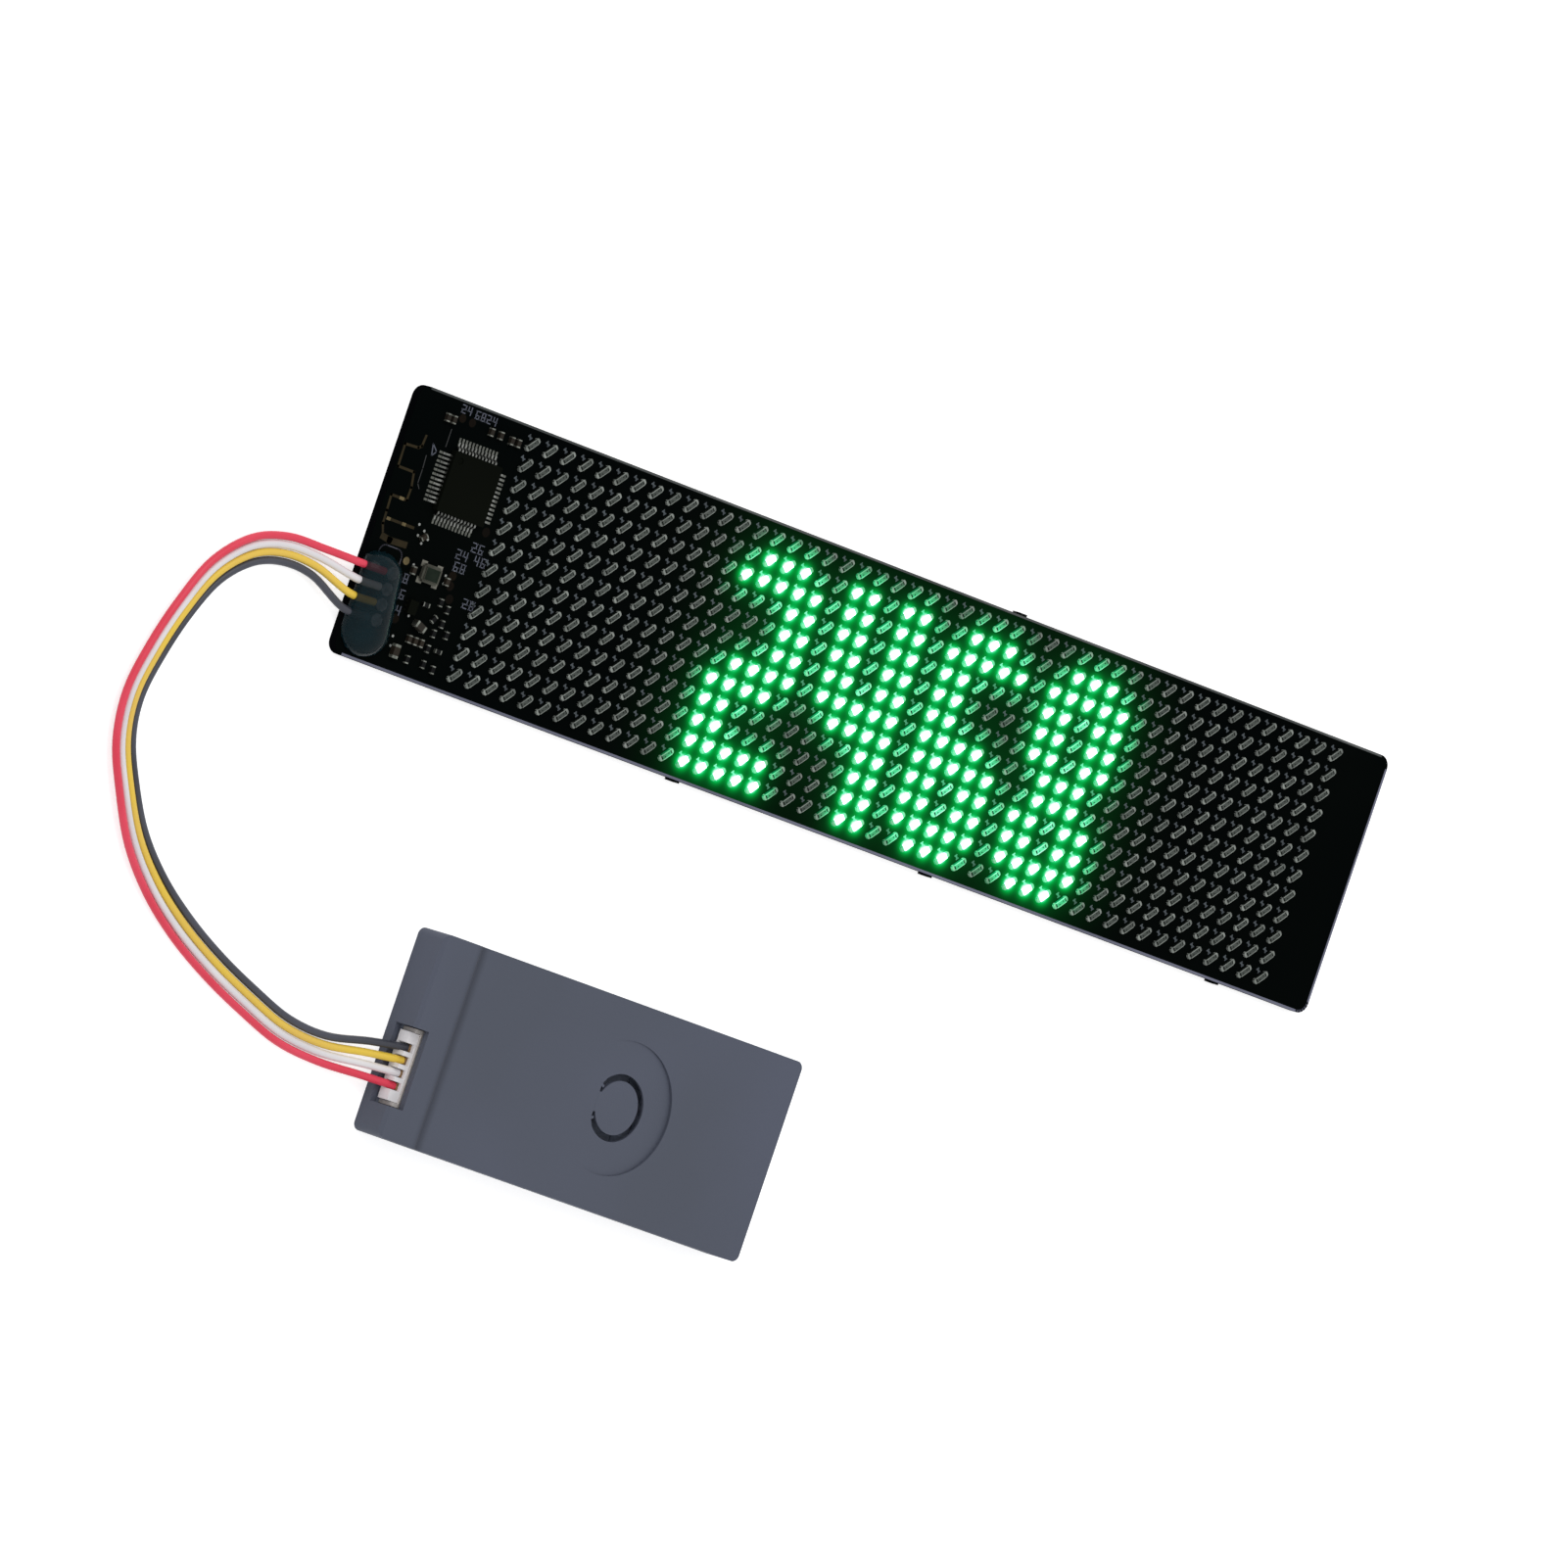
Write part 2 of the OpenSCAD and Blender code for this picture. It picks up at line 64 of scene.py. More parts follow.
# %% Aim the camera
CAMERA_AT = Vector((-1.41749, -0.07654, 1.69622))
CAMERA_TO = Vector((-0.00776, 0.01259, 0.0))
CAMERA_ROLL = math.radians(-105.88)
SENSOR, FOCAL_LENGTH = 36, 449.7

forward = (CAMERA_TO - CAMERA_AT).normalized()
level_right = forward.cross(Vector((0, 0, 1))).normalized()
level_down = forward.cross(level_right)
right = math.cos(CAMERA_ROLL) * level_right + math.sin(CAMERA_ROLL) * level_down
up = -forward.cross(right)
lens = bpy.data.cameras.new("camera")
lens.sensor_width = SENSOR
lens.lens = FOCAL_LENGTH
lens.clip_end = 20
camera = bpy.data.objects.new("camera", lens)
turned = Matrix((right, up, -forward)).transposed().to_4x4()
camera.matrix_world = Matrix.Translation(CAMERA_AT) @ turned
scene.collection.objects.link(camera)
scene.camera = camera
print("camera distance:", round((CAMERA_TO - CAMERA_AT).length, 3))

# %% [markdown]
# ## Small helpers
#
# A piece could be moved into place as an object, or be built where it belongs. Here it sits
# at the origin and its mesh holds the place, so that it can be compared with the solids.
# `keep` puts it in the scene, lets it ride on a body of the model and gives it its finish.


# %% Put a finished mesh in the scene
def keep(mesh, name, material, body="frame", slot=None, replaces=(), smooth=False):
    piece = bpy.data.objects.new(name, mesh)
    scene.collection.objects.link(piece)
    mesh.materials.clear()
    mesh.materials.append(material)
    mesh.shade_smooth() if smooth else mesh.shade_flat()
    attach(piece, body)
    if replaces:
        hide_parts(*replaces)
    return piece


def mesh_from(name, points, faces):
    mesh = bpy.data.meshes.new(name)
    mesh.from_pydata(points, [], faces)
    mesh.update()
    return mesh


def as_built(name, bm):
    mesh = bpy.data.meshes.new(name)
    bm.to_mesh(mesh)
    bm.free()
    return mesh


def mesh_of(name, bm):
    """The same, with every face turned outward."""
    bmesh.ops.recalc_face_normals(bm, faces=bm.faces)
    return as_built(name, bm)


# %% [markdown]
# ## Shared surface effects
#
# Moulded plastic, lacquer and solder all differ a little from place to place. That could be
# painted, but noise worked out by nodes needs no picture and holds at any distance. One
# shader group gives each material a slow drift of its colour, a fine grain in its height and
# some spread in its roughness. The shader itself stays in each material.


# %% A group for grain and drift
def link(tree, out, into):
    tree.links.new(out, into)


def calculate(tree, operation, *values):
    """One math node. Each value is a number, or what another node gives."""
    node = tree.nodes.new("ShaderNodeMath")
    node.operation = operation
    for socket, value in zip(node.inputs, values):
        if isinstance(value, bpy.types.NodeSocket):
            link(tree, value, socket)
        else:
            socket.default_value = value
    return node.outputs[0]


def noise(tree, vector, scale, detail=2.0):
    node = tree.nodes.new("ShaderNodeTexNoise")
    node.inputs["Scale"].default_value = 1.0
    node.inputs["Detail"].default_value = detail
    link(tree, vector, node.inputs["Vector"])
    link(tree, scale, node.inputs["Scale"])
    return node.outputs["Fac"]


def surface_group():
    tree = bpy.data.node_groups.new("Surface Grain", "ShaderNodeTree")
    for label, kind, value in (
        ("Color", "NodeSocketColor", (0.5, 0.5, 0.5, 1)),
        ("Drift Color", "NodeSocketColor", (0.4, 0.4, 0.4, 1)),
        ("Drift Scale", "NodeSocketFloat", 40.0),
        ("Grain Scale", "NodeSocketFloat", 6000.0),
        ("Grain Depth", "NodeSocketFloat", 0.00001),
        ("Roughness", "NodeSocketFloat", 0.5),
        ("Roughness Spread", "NodeSocketFloat", 0.1),
    ):
        tree.interface.new_socket(label, in_out="INPUT", socket_type=kind).default_value = value
    for label, kind in (
        ("Color", "NodeSocketColor"),
        ("Roughness", "NodeSocketFloat"),
        ("Normal", "NodeSocketVector"),
    ):
        tree.interface.new_socket(label, in_out="OUTPUT", socket_type=kind)
    given = tree.nodes.new("NodeGroupInput").outputs
    made = tree.nodes.new("NodeGroupOutput").inputs
    place = tree.nodes.new("ShaderNodeTexCoord").outputs["Object"]
    drift = noise(tree, place, given["Drift Scale"])
    grain = noise(tree, place, given["Grain Scale"], 3.0)

    mix = tree.nodes.new("ShaderNodeMix")
    mix.data_type = "RGBA"
    sharpen = tree.nodes.new("ShaderNodeMapRange")
    sharpen.inputs["From Min"].default_value = 0.35
    sharpen.inputs["From Max"].default_value = 0.65
    link(tree, drift, sharpen.inputs["Value"])
    link(tree, sharpen.outputs["Result"], mix.inputs["Factor"])
    link(tree, given["Color"], mix.inputs[6])
    link(tree, given["Drift Color"], mix.inputs[7])
    link(tree, mix.outputs[2], made["Color"])

    roughness = calculate(tree, "MULTIPLY_ADD", grain, given["Roughness Spread"],
                          given["Roughness"])
    link(tree, roughness, made["Roughness"])

    bump = tree.nodes.new("ShaderNodeBump")
    bump.inputs["Strength"].default_value = 1.0
    bump.inputs["Distance"].default_value = 1.0
    link(tree, calculate(tree, "MULTIPLY", grain, given["Grain Depth"]), bump.inputs["Height"])
    link(tree, bump.outputs["Normal"], made["Normal"])
    return tree


GRAIN = surface_group()
print("group:", GRAIN.name)

# %% [markdown]
# ## One way to make every finish
#
# Each finish needs the same links from the group to its shader. Writing them out each time
# would hide what differs, so `finish` makes them once. Colours are given as the usual
# 0 to 255 steps and are made linear here, because shaders count light and not steps.


# %% A material on that group
def srgb(r, g, b):
    def linear(c):
        c = c / 255
        return c / 12.92 if c <= 0.04045 else ((c + 0.055) / 1.055) ** 2.4

    return (linear(r), linear(g), linear(b), 1.0)


def finish(name, color, drift=None, roughness=0.5, grain=0.00001, grain_scale=6000.0,
           drift_scale=40.0, spread=0.1, **constants):
    material = bpy.data.materials.new(name)
    material.use_nodes = True
    tree = material.node_tree
    shader = tree.nodes["Principled BSDF"]
    group = tree.nodes.new("ShaderNodeGroup")
    group.node_tree = GRAIN
    group.inputs["Color"].default_value = color
    group.inputs["Drift Color"].default_value = drift or color
    group.inputs["Drift Scale"].default_value = drift_scale
    group.inputs["Grain Scale"].default_value = grain_scale
    group.inputs["Grain Depth"].default_value = grain
    group.inputs["Roughness"].default_value = roughness - spread / 2
    group.inputs["Roughness Spread"].default_value = spread
    link(tree, group.outputs["Color"], shader.inputs["Base Color"])
    link(tree, group.outputs["Roughness"], shader.inputs["Roughness"])
    link(tree, group.outputs["Normal"], shader.inputs["Normal"])
    for socket, value in constants.items():
        shader.inputs[socket.replace("_", " ")].default_value = value
    return material


# %% [markdown]
# ## The lead
#
# Four insulated wires leave their solder joints side by side, bunch together and fan out
# again into the plug. A lead lies as it falls, so no formula gives its line: the route is a
# given list, the same as in the solid model. Each point has x, y and z of the lead's
# middle, the step from wire to wire, and the rise from wire to wire. A Catmull-Rom curve
# rounds it.

# %% The route of the lead
WIRE_D = 0.0009
LAST_WIRE = 3
ROUTE = [
    (-0.0733, 0.0163, 0.0017, 0.0018, 0), (-0.0770, 0.0163, 0.0017, 0.0018, 0),
    (-0.0820, 0.0174, 0.0011, 0.0011, 0), (-0.0865, 0.0175, 0.0005, 0.00096, 0),
    (-0.0910, 0.0161, 0.00046, 0.00096, 0.0001), (-0.0950, 0.0126, 0.00046, 0.00095, 0.0002),
    (-0.0976, 0.0076, 0.00046, 0.00092, 0.00026), (-0.0994, 0.0022, 0.00046, 0.00092, 0.00026),
    (-0.1004, -0.0032, 0.00046, 0.00092, 0.00026), (-0.0996, -0.0083, 0.00046, 0.00092, 0.00026),
    (-0.0970, -0.0132, 0.00046, 0.00092, 0.00026), (-0.0934, -0.0182, 0.00046, 0.00095, 0.0002),
    (-0.0886, -0.0224, 0.00046, 0.00096, 0.0001), (-0.0830, -0.0258, 0.00046, 0.00096, 0),
    (-0.0772, -0.0285, 0.00046, 0.00096, 0), (-0.0712, -0.0307, 0.00046, 0.00096, 0),
    (-0.0652, -0.0325, 0.0005, 0.00096, 0), (-0.0595, -0.0330, 0.001, 0.001, 0),
    (-0.0540, -0.0324, 0.002, 0.0013, 0), (-0.0493, -0.0320, 0.0025, 0.0015, 0),
]


def wire_points(k):
    spots = [Vector(p[:3]) for p in ROUTE]
    made = []
    for i, (spot, step) in enumerate(zip(spots, ROUTE)):
        heading = (spots[min(i + 1, len(spots) - 1)] - spots[max(i - 1, 0)]).normalized()
        if i == 0:
            heading = Vector((-1, 0, 0))
        if i == len(spots) - 1:
            heading = Vector((1, 0, 0))
        side = heading.cross(Vector((0, 0, 1))).normalized()
        rise = Vector((0, 0, (LAST_WIRE - k) * step[4]))
        made.append(spot + side * (LAST_WIRE / 2 - k) * step[3] + rise)
    return made


def rounded(points, cuts=6):
    ends = [2 * points[0] - points[1], *points, 2 * points[-1] - points[-2]]
    made = []
    for a, b, c, d in zip(ends, ends[1:], ends[2:], ends[3:]):
        for i in range(cuts):
            t = i / cuts
            made.append(0.5 * (2 * b + (c - a) * t + (2 * a - 5 * b + 4 * c - d) * t * t
                               + (3 * b - a - 3 * c + d) * t ** 3))
    lowest = WIRE_D / 2 + 0.00001
    return [Vector((p.x, p.y, max(p.z, lowest))) for p in [*made, points[-1]]]


print("route points:", len(ROUTE))

# %% [markdown]
# ## The insulated wires
#
# The insulation is soft plastic in red, white, yellow and black. A mesh tube would do, but a
# curve with a round bevel keeps its true line, which is measured for the cord's length.

# %% The four wires
WIRE_FINISHES = {
    "wire_red": (srgb(228, 52, 78), srgb(236, 66, 92)),
    "wire_white": (srgb(236, 233, 235), srgb(226, 222, 226)),
    "wire_yellow": (srgb(240, 203, 66), srgb(236, 196, 84)),
    "wire_black": (srgb(52, 54, 64), srgb(66, 68, 80)),
}
for k, (name, (color, drift)) in enumerate(WIRE_FINISHES.items()):
    line = rounded(wire_points(k))
    curve = bpy.data.curves.new(name + "_jacket", "CURVE")
    curve.dimensions = "3D"
    curve.bevel_depth = WIRE_D / 2
    curve.bevel_resolution = 4
    curve.use_fill_caps = True
    spline = curve.splines.new("POLY")
    spline.points.add(len(line) - 1)
    for point, spot in zip(spline.points, line):
        point.co = (*spot, 1)
    curve.materials.append(finish(name + "_jacket", color, drift, roughness=0.42,
                                  grain=0.000004, grain_scale=1500, drift_scale=120))
    wire = bpy.data.objects.new(name + "_jacket", curve)
    scene.collection.objects.link(wire)
    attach(wire, "frame")
    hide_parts(name)
    length = sum((b - a).length for a, b in zip(line, line[1:]))
    print(name, "length", round(length, 4))

# %% [markdown]
# ## Finishes of the solid parts
#
# Each solid of the model keeps its shape and gets a finish of its own. Black lacquer and
# chip bodies are almost without reflection, solder is bright and rough, and the pack is
# moulded in a slate grey with a very fine matt grain. The board inside the pack is painted
# pale, as painted light: it lies in shade, and is seen through the slot around the button.

# %% Materials
BLACK = {"color": srgb(7, 10, 9), "drift": srgb(5, 8, 8), "roughness": 0.5, "grain": 0.000002,
         "Specular_IOR_Level": 0.0}
board_black = finish("board_black", **BLACK)
edge_grey = finish("edge_grey", srgb(9, 10, 12), srgb(6, 7, 9), roughness=0.9,
                   Specular_IOR_Level=0.0)
chip_black = finish("chip_black", srgb(15, 17, 13), srgb(12, 14, 11), roughness=0.6,
                    Specular_IOR_Level=0.0, grain=0.000006, grain_scale=9000)
tinned = finish("tinned", srgb(138, 140, 136), srgb(100, 102, 98), roughness=0.38,
                Metallic=0.9, drift_scale=900, spread=0.2)
solder = finish("solder", srgb(150, 152, 158), srgb(110, 112, 116), roughness=0.35,
                Metallic=0.9, drift_scale=1500, spread=0.2)
crystal_case = finish("crystal_case", srgb(78, 79, 70), srgb(62, 62, 55), roughness=0.5,
                      drift_scale=600, Specular_IOR_Level=0.15)
capacitor_brown = finish("capacitor_brown", srgb(42, 36, 29), srgb(32, 28, 23), roughness=0.55,
                         Specular_IOR_Level=0.1)
resistor_black = finish("resistor_black", srgb(17, 18, 19), srgb(11, 12, 13), roughness=0.5,
                        Specular_IOR_Level=0.05)
ferrite_grey = finish("ferrite_grey", srgb(44, 41, 36), srgb(36, 33, 30), roughness=0.6,
                      Specular_IOR_Level=0.1)
plug_white = finish("plug_white", srgb(247, 245, 247), srgb(240, 237, 240), roughness=0.45,
                    grain=0.000003)
header_beige = finish("header_beige", srgb(214, 208, 204), srgb(196, 190, 186), roughness=0.5)
contact_brass = finish("contact_brass", srgb(176, 140, 96), srgb(140, 108, 74), roughness=0.4,
                       Metallic=0.7)
PACK = {"color": srgb(79, 84, 97), "drift": srgb(84, 89, 105), "roughness": 0.62,
        "grain": 0.000012, "grain_scale": 5000, "drift_scale": 35, "spread": 0.16,
        "Specular_IOR_Level": 0.3}
pack_grey = finish("pack_grey", **PACK)
switch_black = finish("switch_black", srgb(38, 40, 44), roughness=0.5)
plunger_ivory = finish("plunger_ivory", srgb(214, 208, 192), roughness=0.45)
# A pale colour on the pack's inner board, as painted light for the slot that looks into it.
inner_board = finish("inner_board", srgb(142, 150, 168), srgb(130, 138, 156), roughness=0.5,
                     Specular_IOR_Level=0.1)
cell_foil = finish("cell_foil", srgb(190, 200, 222), srgb(176, 186, 208), roughness=0.5,
                   Specular_IOR_Level=0.2)
tab_nickel = finish("tab_nickel", srgb(122, 130, 150), srgb(108, 116, 134), roughness=0.5)

# %% [markdown]
# ## The crease on the cover
#
# Next to its ridge the real cover has a soft, shallow fold, and shade lies in it. The fold is
# too shallow to cast that shade as a shape, so the shade is painted into the cover's own
# material along it, fading to both sides.

# %% Finish of the cover
CREASE_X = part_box("pack_cover")[0][0] + 5.9 * MM
CREASE_W, CREASE_SHADE = 1.2 * MM, 0.5


def paint_crease_shade(material, x, width, shade):
    """Paints shade softly into the material along a crease that runs across at x."""
    tree = material.node_tree
    shader = tree.nodes["Principled BSDF"]
    color = shader.inputs["Base Color"].links[0].from_socket
    place = tree.nodes.new("ShaderNodeSeparateXYZ")
    apart = calculate(tree, "ABSOLUTE", calculate(tree, "SUBTRACT", place.outputs["X"], x))
    depth = tree.nodes.new("ShaderNodeMapRange")
    depth.interpolation_type = "SMOOTHSTEP"
    depth.inputs["From Max"].default_value = width
    depth.inputs["To Min"].default_value = shade
    depth.inputs["To Max"].default_value = 0.0
    darker = tree.nodes.new("ShaderNodeMix")
    darker.data_type = "RGBA"
    # The colour of the painted shade in the crease.
    darker.inputs[7].default_value = srgb(30, 32, 42)
    link(tree, tree.nodes.new("ShaderNodeTexCoord").outputs["Object"], place.inputs["Vector"])
    link(tree, apart, depth.inputs["Value"])
    link(tree, depth.outputs["Result"], darker.inputs["Factor"])
    link(tree, color, darker.inputs[6])
    link(tree, darker.outputs[2], shader.inputs["Base Color"])
    return material


cover_grey = paint_crease_shade(finish("cover_grey", **PACK), CREASE_X, CREASE_W, CREASE_SHADE)
print("crease at", round(CREASE_X, 4))

# %% [markdown]
# ## Dress the solids
#
# One table says which finish each solid takes, so that no solid is forgotten. Their meshes
# stay as they came.

# %% A finish for each solid
DRESS = {
    "display_board": board_black, "controller_body": chip_black, "controller_leads": tinned,
    "crystal": crystal_case, "chip_capacitors": capacitor_brown, "chip_resistors": resistor_black,
    "power_switch_chip": chip_black, "ferrite_bead": ferrite_grey,
    "protection_diode": capacitor_brown, "solder_joints": solder, "plug_housing": plug_white,
    "plug_contacts": contact_brass, "header_housing": header_beige, "header_pins": tinned,
    "pack_cover": cover_grey, "pack_base": pack_grey, "button_tongue": pack_grey,
    "switch_body": switch_black, "switch_plunger": plunger_ivory, "pack_board": inner_board,
    "converter_chip": chip_black, "power_inductor": ferrite_grey,
    "pack_capacitors": capacitor_brown, "battery_cell": cell_foil, "cell_tabs": tab_nickel,
}
for name, material in DRESS.items():
    mesh = nodes[name].data
    mesh.materials.clear()
    mesh.materials.append(material)
print("dressed", len(DRESS), "solids")

# %% [markdown]
# ## Repeats made by Geometry Nodes
#
# Hundreds of equal small parts could be copied by a loop, but one node tree lays them out at
# once. Every vertex of the starting mesh is a place, its `turn` attribute says how the part
# is turned, and `Part` is the shape to repeat. The result is realised and made a plain mesh,
# because instances don't leave Blender.


# %% The part array tree
def array_tree():
    tree = bpy.data.node_groups.new("Part Array", "GeometryNodeTree")
    for label, kind in (
        ("Geometry", "NodeSocketGeometry"), ("Part", "NodeSocketObject"),
        ("Slant", "NodeSocketFloat"), ("Size", "NodeSocketVector"),
        ("Material", "NodeSocketMaterial"),
    ):
        tree.interface.new_socket(label, in_out="INPUT", socket_type=kind)
    tree.interface.new_socket("Geometry", in_out="OUTPUT", socket_type="NodeSocketGeometry")
    add = tree.nodes.new
    given, made = add("NodeGroupInput").outputs, add("NodeGroupOutput").inputs
    part = add("GeometryNodeObjectInfo")
    turn = add("GeometryNodeInputNamedAttribute")
    turn.data_type = "FLOAT"
    turn.inputs["Name"].default_value = "turn"
    angles = add("ShaderNodeCombineXYZ")
    places = add("GeometryNodeInstanceOnPoints")
    real = add("GeometryNodeRealizeInstances")
    paint = add("GeometryNodeSetMaterial")
    link(tree, given["Part"], part.inputs["Object"])
    link(tree, calculate(tree, "ADD", turn.outputs[0], given["Slant"]), angles.inputs["Z"])
    link(tree, given["Geometry"], places.inputs["Points"])
    link(tree, part.outputs["Geometry"], places.inputs["Instance"])
    link(tree, angles.outputs[0], places.inputs["Rotation"])
    link(tree, given["Size"], places.inputs["Scale"])
    link(tree, places.outputs["Instances"], real.inputs["Geometry"])
    link(tree, real.outputs["Geometry"], paint.inputs["Geometry"])
    link(tree, given["Material"], paint.inputs["Material"])
    link(tree, paint.outputs["Geometry"], made["Geometry"])
    return tree


PART_ARRAY = array_tree()


def socket_id(tree, label):
    return next(s.identifier for s in tree.interface.items_tree
                if s.name == label and s.in_out == "INPUT")


def run_tree(name, mesh, tree, values):
    """Evaluates the tree on mesh, and gives back a plain mesh."""
    holder = bpy.data.objects.new(name, mesh)
    scene.collection.objects.link(holder)
    modifier = holder.modifiers.new(tree.name, "NODES")
    modifier.node_group = tree
    for label, value in values.items():
        modifier[socket_id(tree, label)] = value
    graph = bpy.context.evaluated_depsgraph_get()
    made = bpy.data.meshes.new_from_object(holder.evaluated_get(graph))
    bpy.data.objects.remove(holder)
    made.name = name
    return made


def lay_out(name, part, places, material, slant=0.0, size=(1, 1, 1), **how):
    """One part at each place: (x, y, z, turn in degrees)."""
    start = mesh_from(name + "_places", [p[:3] for p in places], [])
    turn = start.attributes.new("turn", "FLOAT", "POINT")
    turn.data.foreach_set("value", [math.radians(p[3]) for p in places])
    shape = bpy.data.objects.new(name + "_part", part)
    scene.collection.objects.link(shape)
    made = run_tree(name, start, PART_ARRAY, {
        "Part": shape, "Slant": slant, "Size": size, "Material": material})
    bpy.data.objects.remove(shape)
    piece = keep(made, name, material, **how)
    print(name, len(places), "places,", len(made.polygons), "faces")
    return piece


# %% [markdown]
# ## Shapes to repeat
#
# Nearly every small part is a block with soft upper edges. The soldered ends are plates with
# a rounded outer side. Both are built in bmesh, where a shape is joined before it is a mesh.


# %% Shapes of the small parts
def block(length, width, low, high, bevel=0.0, x=0.0, y=0.0):
    bm = bmesh.new()
    bmesh.ops.create_cube(bm, size=1)
    bmesh.ops.scale(bm, vec=(length, width, high - low), verts=bm.verts)
    bmesh.ops.translate(bm, vec=(x, y, (low + high) / 2), verts=bm.verts)
    if bevel:
        edges = [e for e in bm.edges if max(v.co.z for v in e.verts) > (low + high) / 2]
        bmesh.ops.bevel(bm, geom=edges, offset=bevel, segments=1, affect="EDGES")
    return bm


def joined(name, *parts):
    whole = bmesh.new()
    for part in parts:
        piece = bpy.data.meshes.new("piece")
        part.to_mesh(piece)
        part.free()
        whole.from_mesh(piece)
        bpy.data.meshes.remove(piece)
    return mesh_of(name, whole)


def cap(side, reach, length, width, low, high):
    """A soldered end with a rounded outer side."""
    outer, inner, half = side * reach, side * (reach - length), width / 2
    soft = width * 0.3
    cut = soft * 0.3
    outline = [(inner, -half), (outer - side * soft, -half), (outer - side * cut, -half + cut),
               (outer, -half + soft), (outer, half - soft), (outer - side * cut, half - cut),
               (outer - side * soft, half), (inner, half)]
    bm = bmesh.new()
    bottom = [bm.verts.new((x, y, low)) for x, y in outline]
    top = [bm.verts.new((x, y, high)) for x, y in outline]
    bm.faces.new(top)
    bm.faces.new(bottom[::-1])
    for i in range(len(outline)):
        j = (i + 1) % len(outline)
        bm.faces.new((bottom[i], bottom[j], top[j], top[i]))
    return bm


# %% [markdown]
# ## The LED array
#
# All LEDs share one pitch and one slant. Each has a resin lens between two soldered ends
# on a thin base. Which ones are lit could be a list of 576 marks, but a rule is shorter: the
# lit ones show plain seven-segment digits, two LEDs to a stroke, with some corners rounded.

# %% Which LEDs are lit
board_low, board_high = (Vector(c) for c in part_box("display_board"))
BOARD_TOP = board_high.z
LEFT, UPPER = board_low.x, 0.03995
BOARD_W, BOARD_CORNER = 31.3, 1.4  # in millimetres, without the nubs on the long edges
COLUMNS, ROWS = 48, 12
PITCH_X, PITCH_Y = 2.7 * MM, 2.46 * MM
MARGIN_X, MARGIN_Y = 17.3 * MM, 1.95 * MM
FIRST_X, FIRST_Y = LEFT + MARGIN_X, UPPER - MARGIN_Y
SLANT = math.radians(47)
DIGITS = "2468"
FIRST_COLUMN, GLYPH_STEP, TOP_ROW = 13, 6, 1
STROKES = {  # column range and row range of each stroke, in a glyph of 5 by 11
    "top": (0, 4, 0, 1), "middle": (0, 4, 5, 6), "bottom": (0, 4, 9, 10),
    "upper left": (0, 1, 0, 6), "upper right": (3, 4, 0, 6),
    "lower left": (0, 1, 5, 10), "lower right": (3, 4, 5, 10),
}
DIGIT_STROKES = {
    "2": ("top", "upper right", "middle", "lower left", "bottom"),
    "4": ("upper left", "upper right", "middle", "lower right"),
    "6": ("top", "upper left", "middle", "lower left", "lower right", "bottom"),
    "8": ("top", "upper left", "upper right", "middle", "lower left", "lower right", "bottom"),
}
OUTER_CORNERS = {(0, 0), (4, 0), (0, 10), (4, 10)}
ROUNDED_OFF = {
    "2": {(0, 0), (4, 0), (4, 6), (0, 5)},
    "4": {(0, 6)},
    "6": OUTER_CORNERS | {(4, 5)},
    "8": OUTER_CORNERS | {(0, 5), (4, 5), (0, 6), (4, 6)},
}


def lit(column, row):
    for place, digit in enumerate(DIGITS):
        c = column - FIRST_COLUMN - place * GLYPH_STEP
        r = row - TOP_ROW
        for stroke in DIGIT_STROKES[digit]:
            c0, c1, r0, r1 = STROKES[stroke]
            if c0 <= c <= c1 and r0 <= r <= r1 and (c, r) not in ROUNDED_OFF[digit]:
                return True
    return False


def led_place(column, row):
    return (FIRST_X + column * PITCH_X, FIRST_Y - row * PITCH_Y, BOARD_TOP, 0)


LIT_LEDS = [led_place(c, r) for r in range(ROWS) for c in range(COLUMNS) if lit(c, r)]
DARK_LEDS = [led_place(c, r) for r in range(ROWS) for c in range(COLUMNS) if not lit(c, r)]
print("LEDs:", COLUMNS * ROWS, "lit:", len(LIT_LEDS))

# %% [markdown]
# ## Green light around the lit LEDs
#
# A lit LED is a white core in a green halo, with a faint light on its neighbours and a haze
# beyond them. Real lamps in that number would be slow and noisy. So the light that reaches
# each vertex is worked out once as a sum of bell curves, kept in an attribute called `glow`,
# and turned by a ramp into the colour that the surface gives off.

# %% Light that reaches each vertex
LIT_SPOTS = np.array([place[:2] for place in LIT_LEDS])
FULL_LIGHT = 1.5  # the light at which a ramp ends
PART_HAZE = 0.0025
CORE, HALO, NEIGHBOUR, HAZE = 0.45 * MM, 0.83 * MM, 2.1 * MM, 6.5 * MM
LACQUER_GLOW = ((0, (0, 0, 0, 1)), (0.2, (0, 0.3, 0.037, 1)), (0.333, (0.001, 0.5, 0.09, 1)),
                (0.5, (0.045, 0.75, 0.28, 1)), (0.733, (0.7, 1, 0.87, 1)), (1, (1, 1, 1, 1)))
PART_GLOW = ((0, (0, 0, 0, 1)), (0.2, (0, 0.3, 0.09, 1)), (0.333, (0, 0.5, 0.16, 1)),
             (0.5, (0.03, 0.72, 0.28, 1)), (0.733, (0.12, 0.9, 0.45, 1)), (1, (0.35, 1, 0.7, 1)))


def light_up(mesh, *spreads):
    """Keeps at each vertex how much light it gets from the lit LEDs. Each spread is a reach
    and the light that it gives beside an LED."""
    spots = np.empty(len(mesh.vertices) * 3)
    mesh.vertices.foreach_get("co", spots)
    apart = ((spots.reshape(-1, 1, 3)[:, :, :2] - LIT_SPOTS) ** 2).sum(axis=2)
    light = sum(strong * np.exp(-apart / reach ** 2).sum(axis=1) for reach, strong in spreads)
    mesh.attributes.new("glow", "FLOAT", "POINT").data.foreach_set("value", light / FULL_LIGHT)
    return light


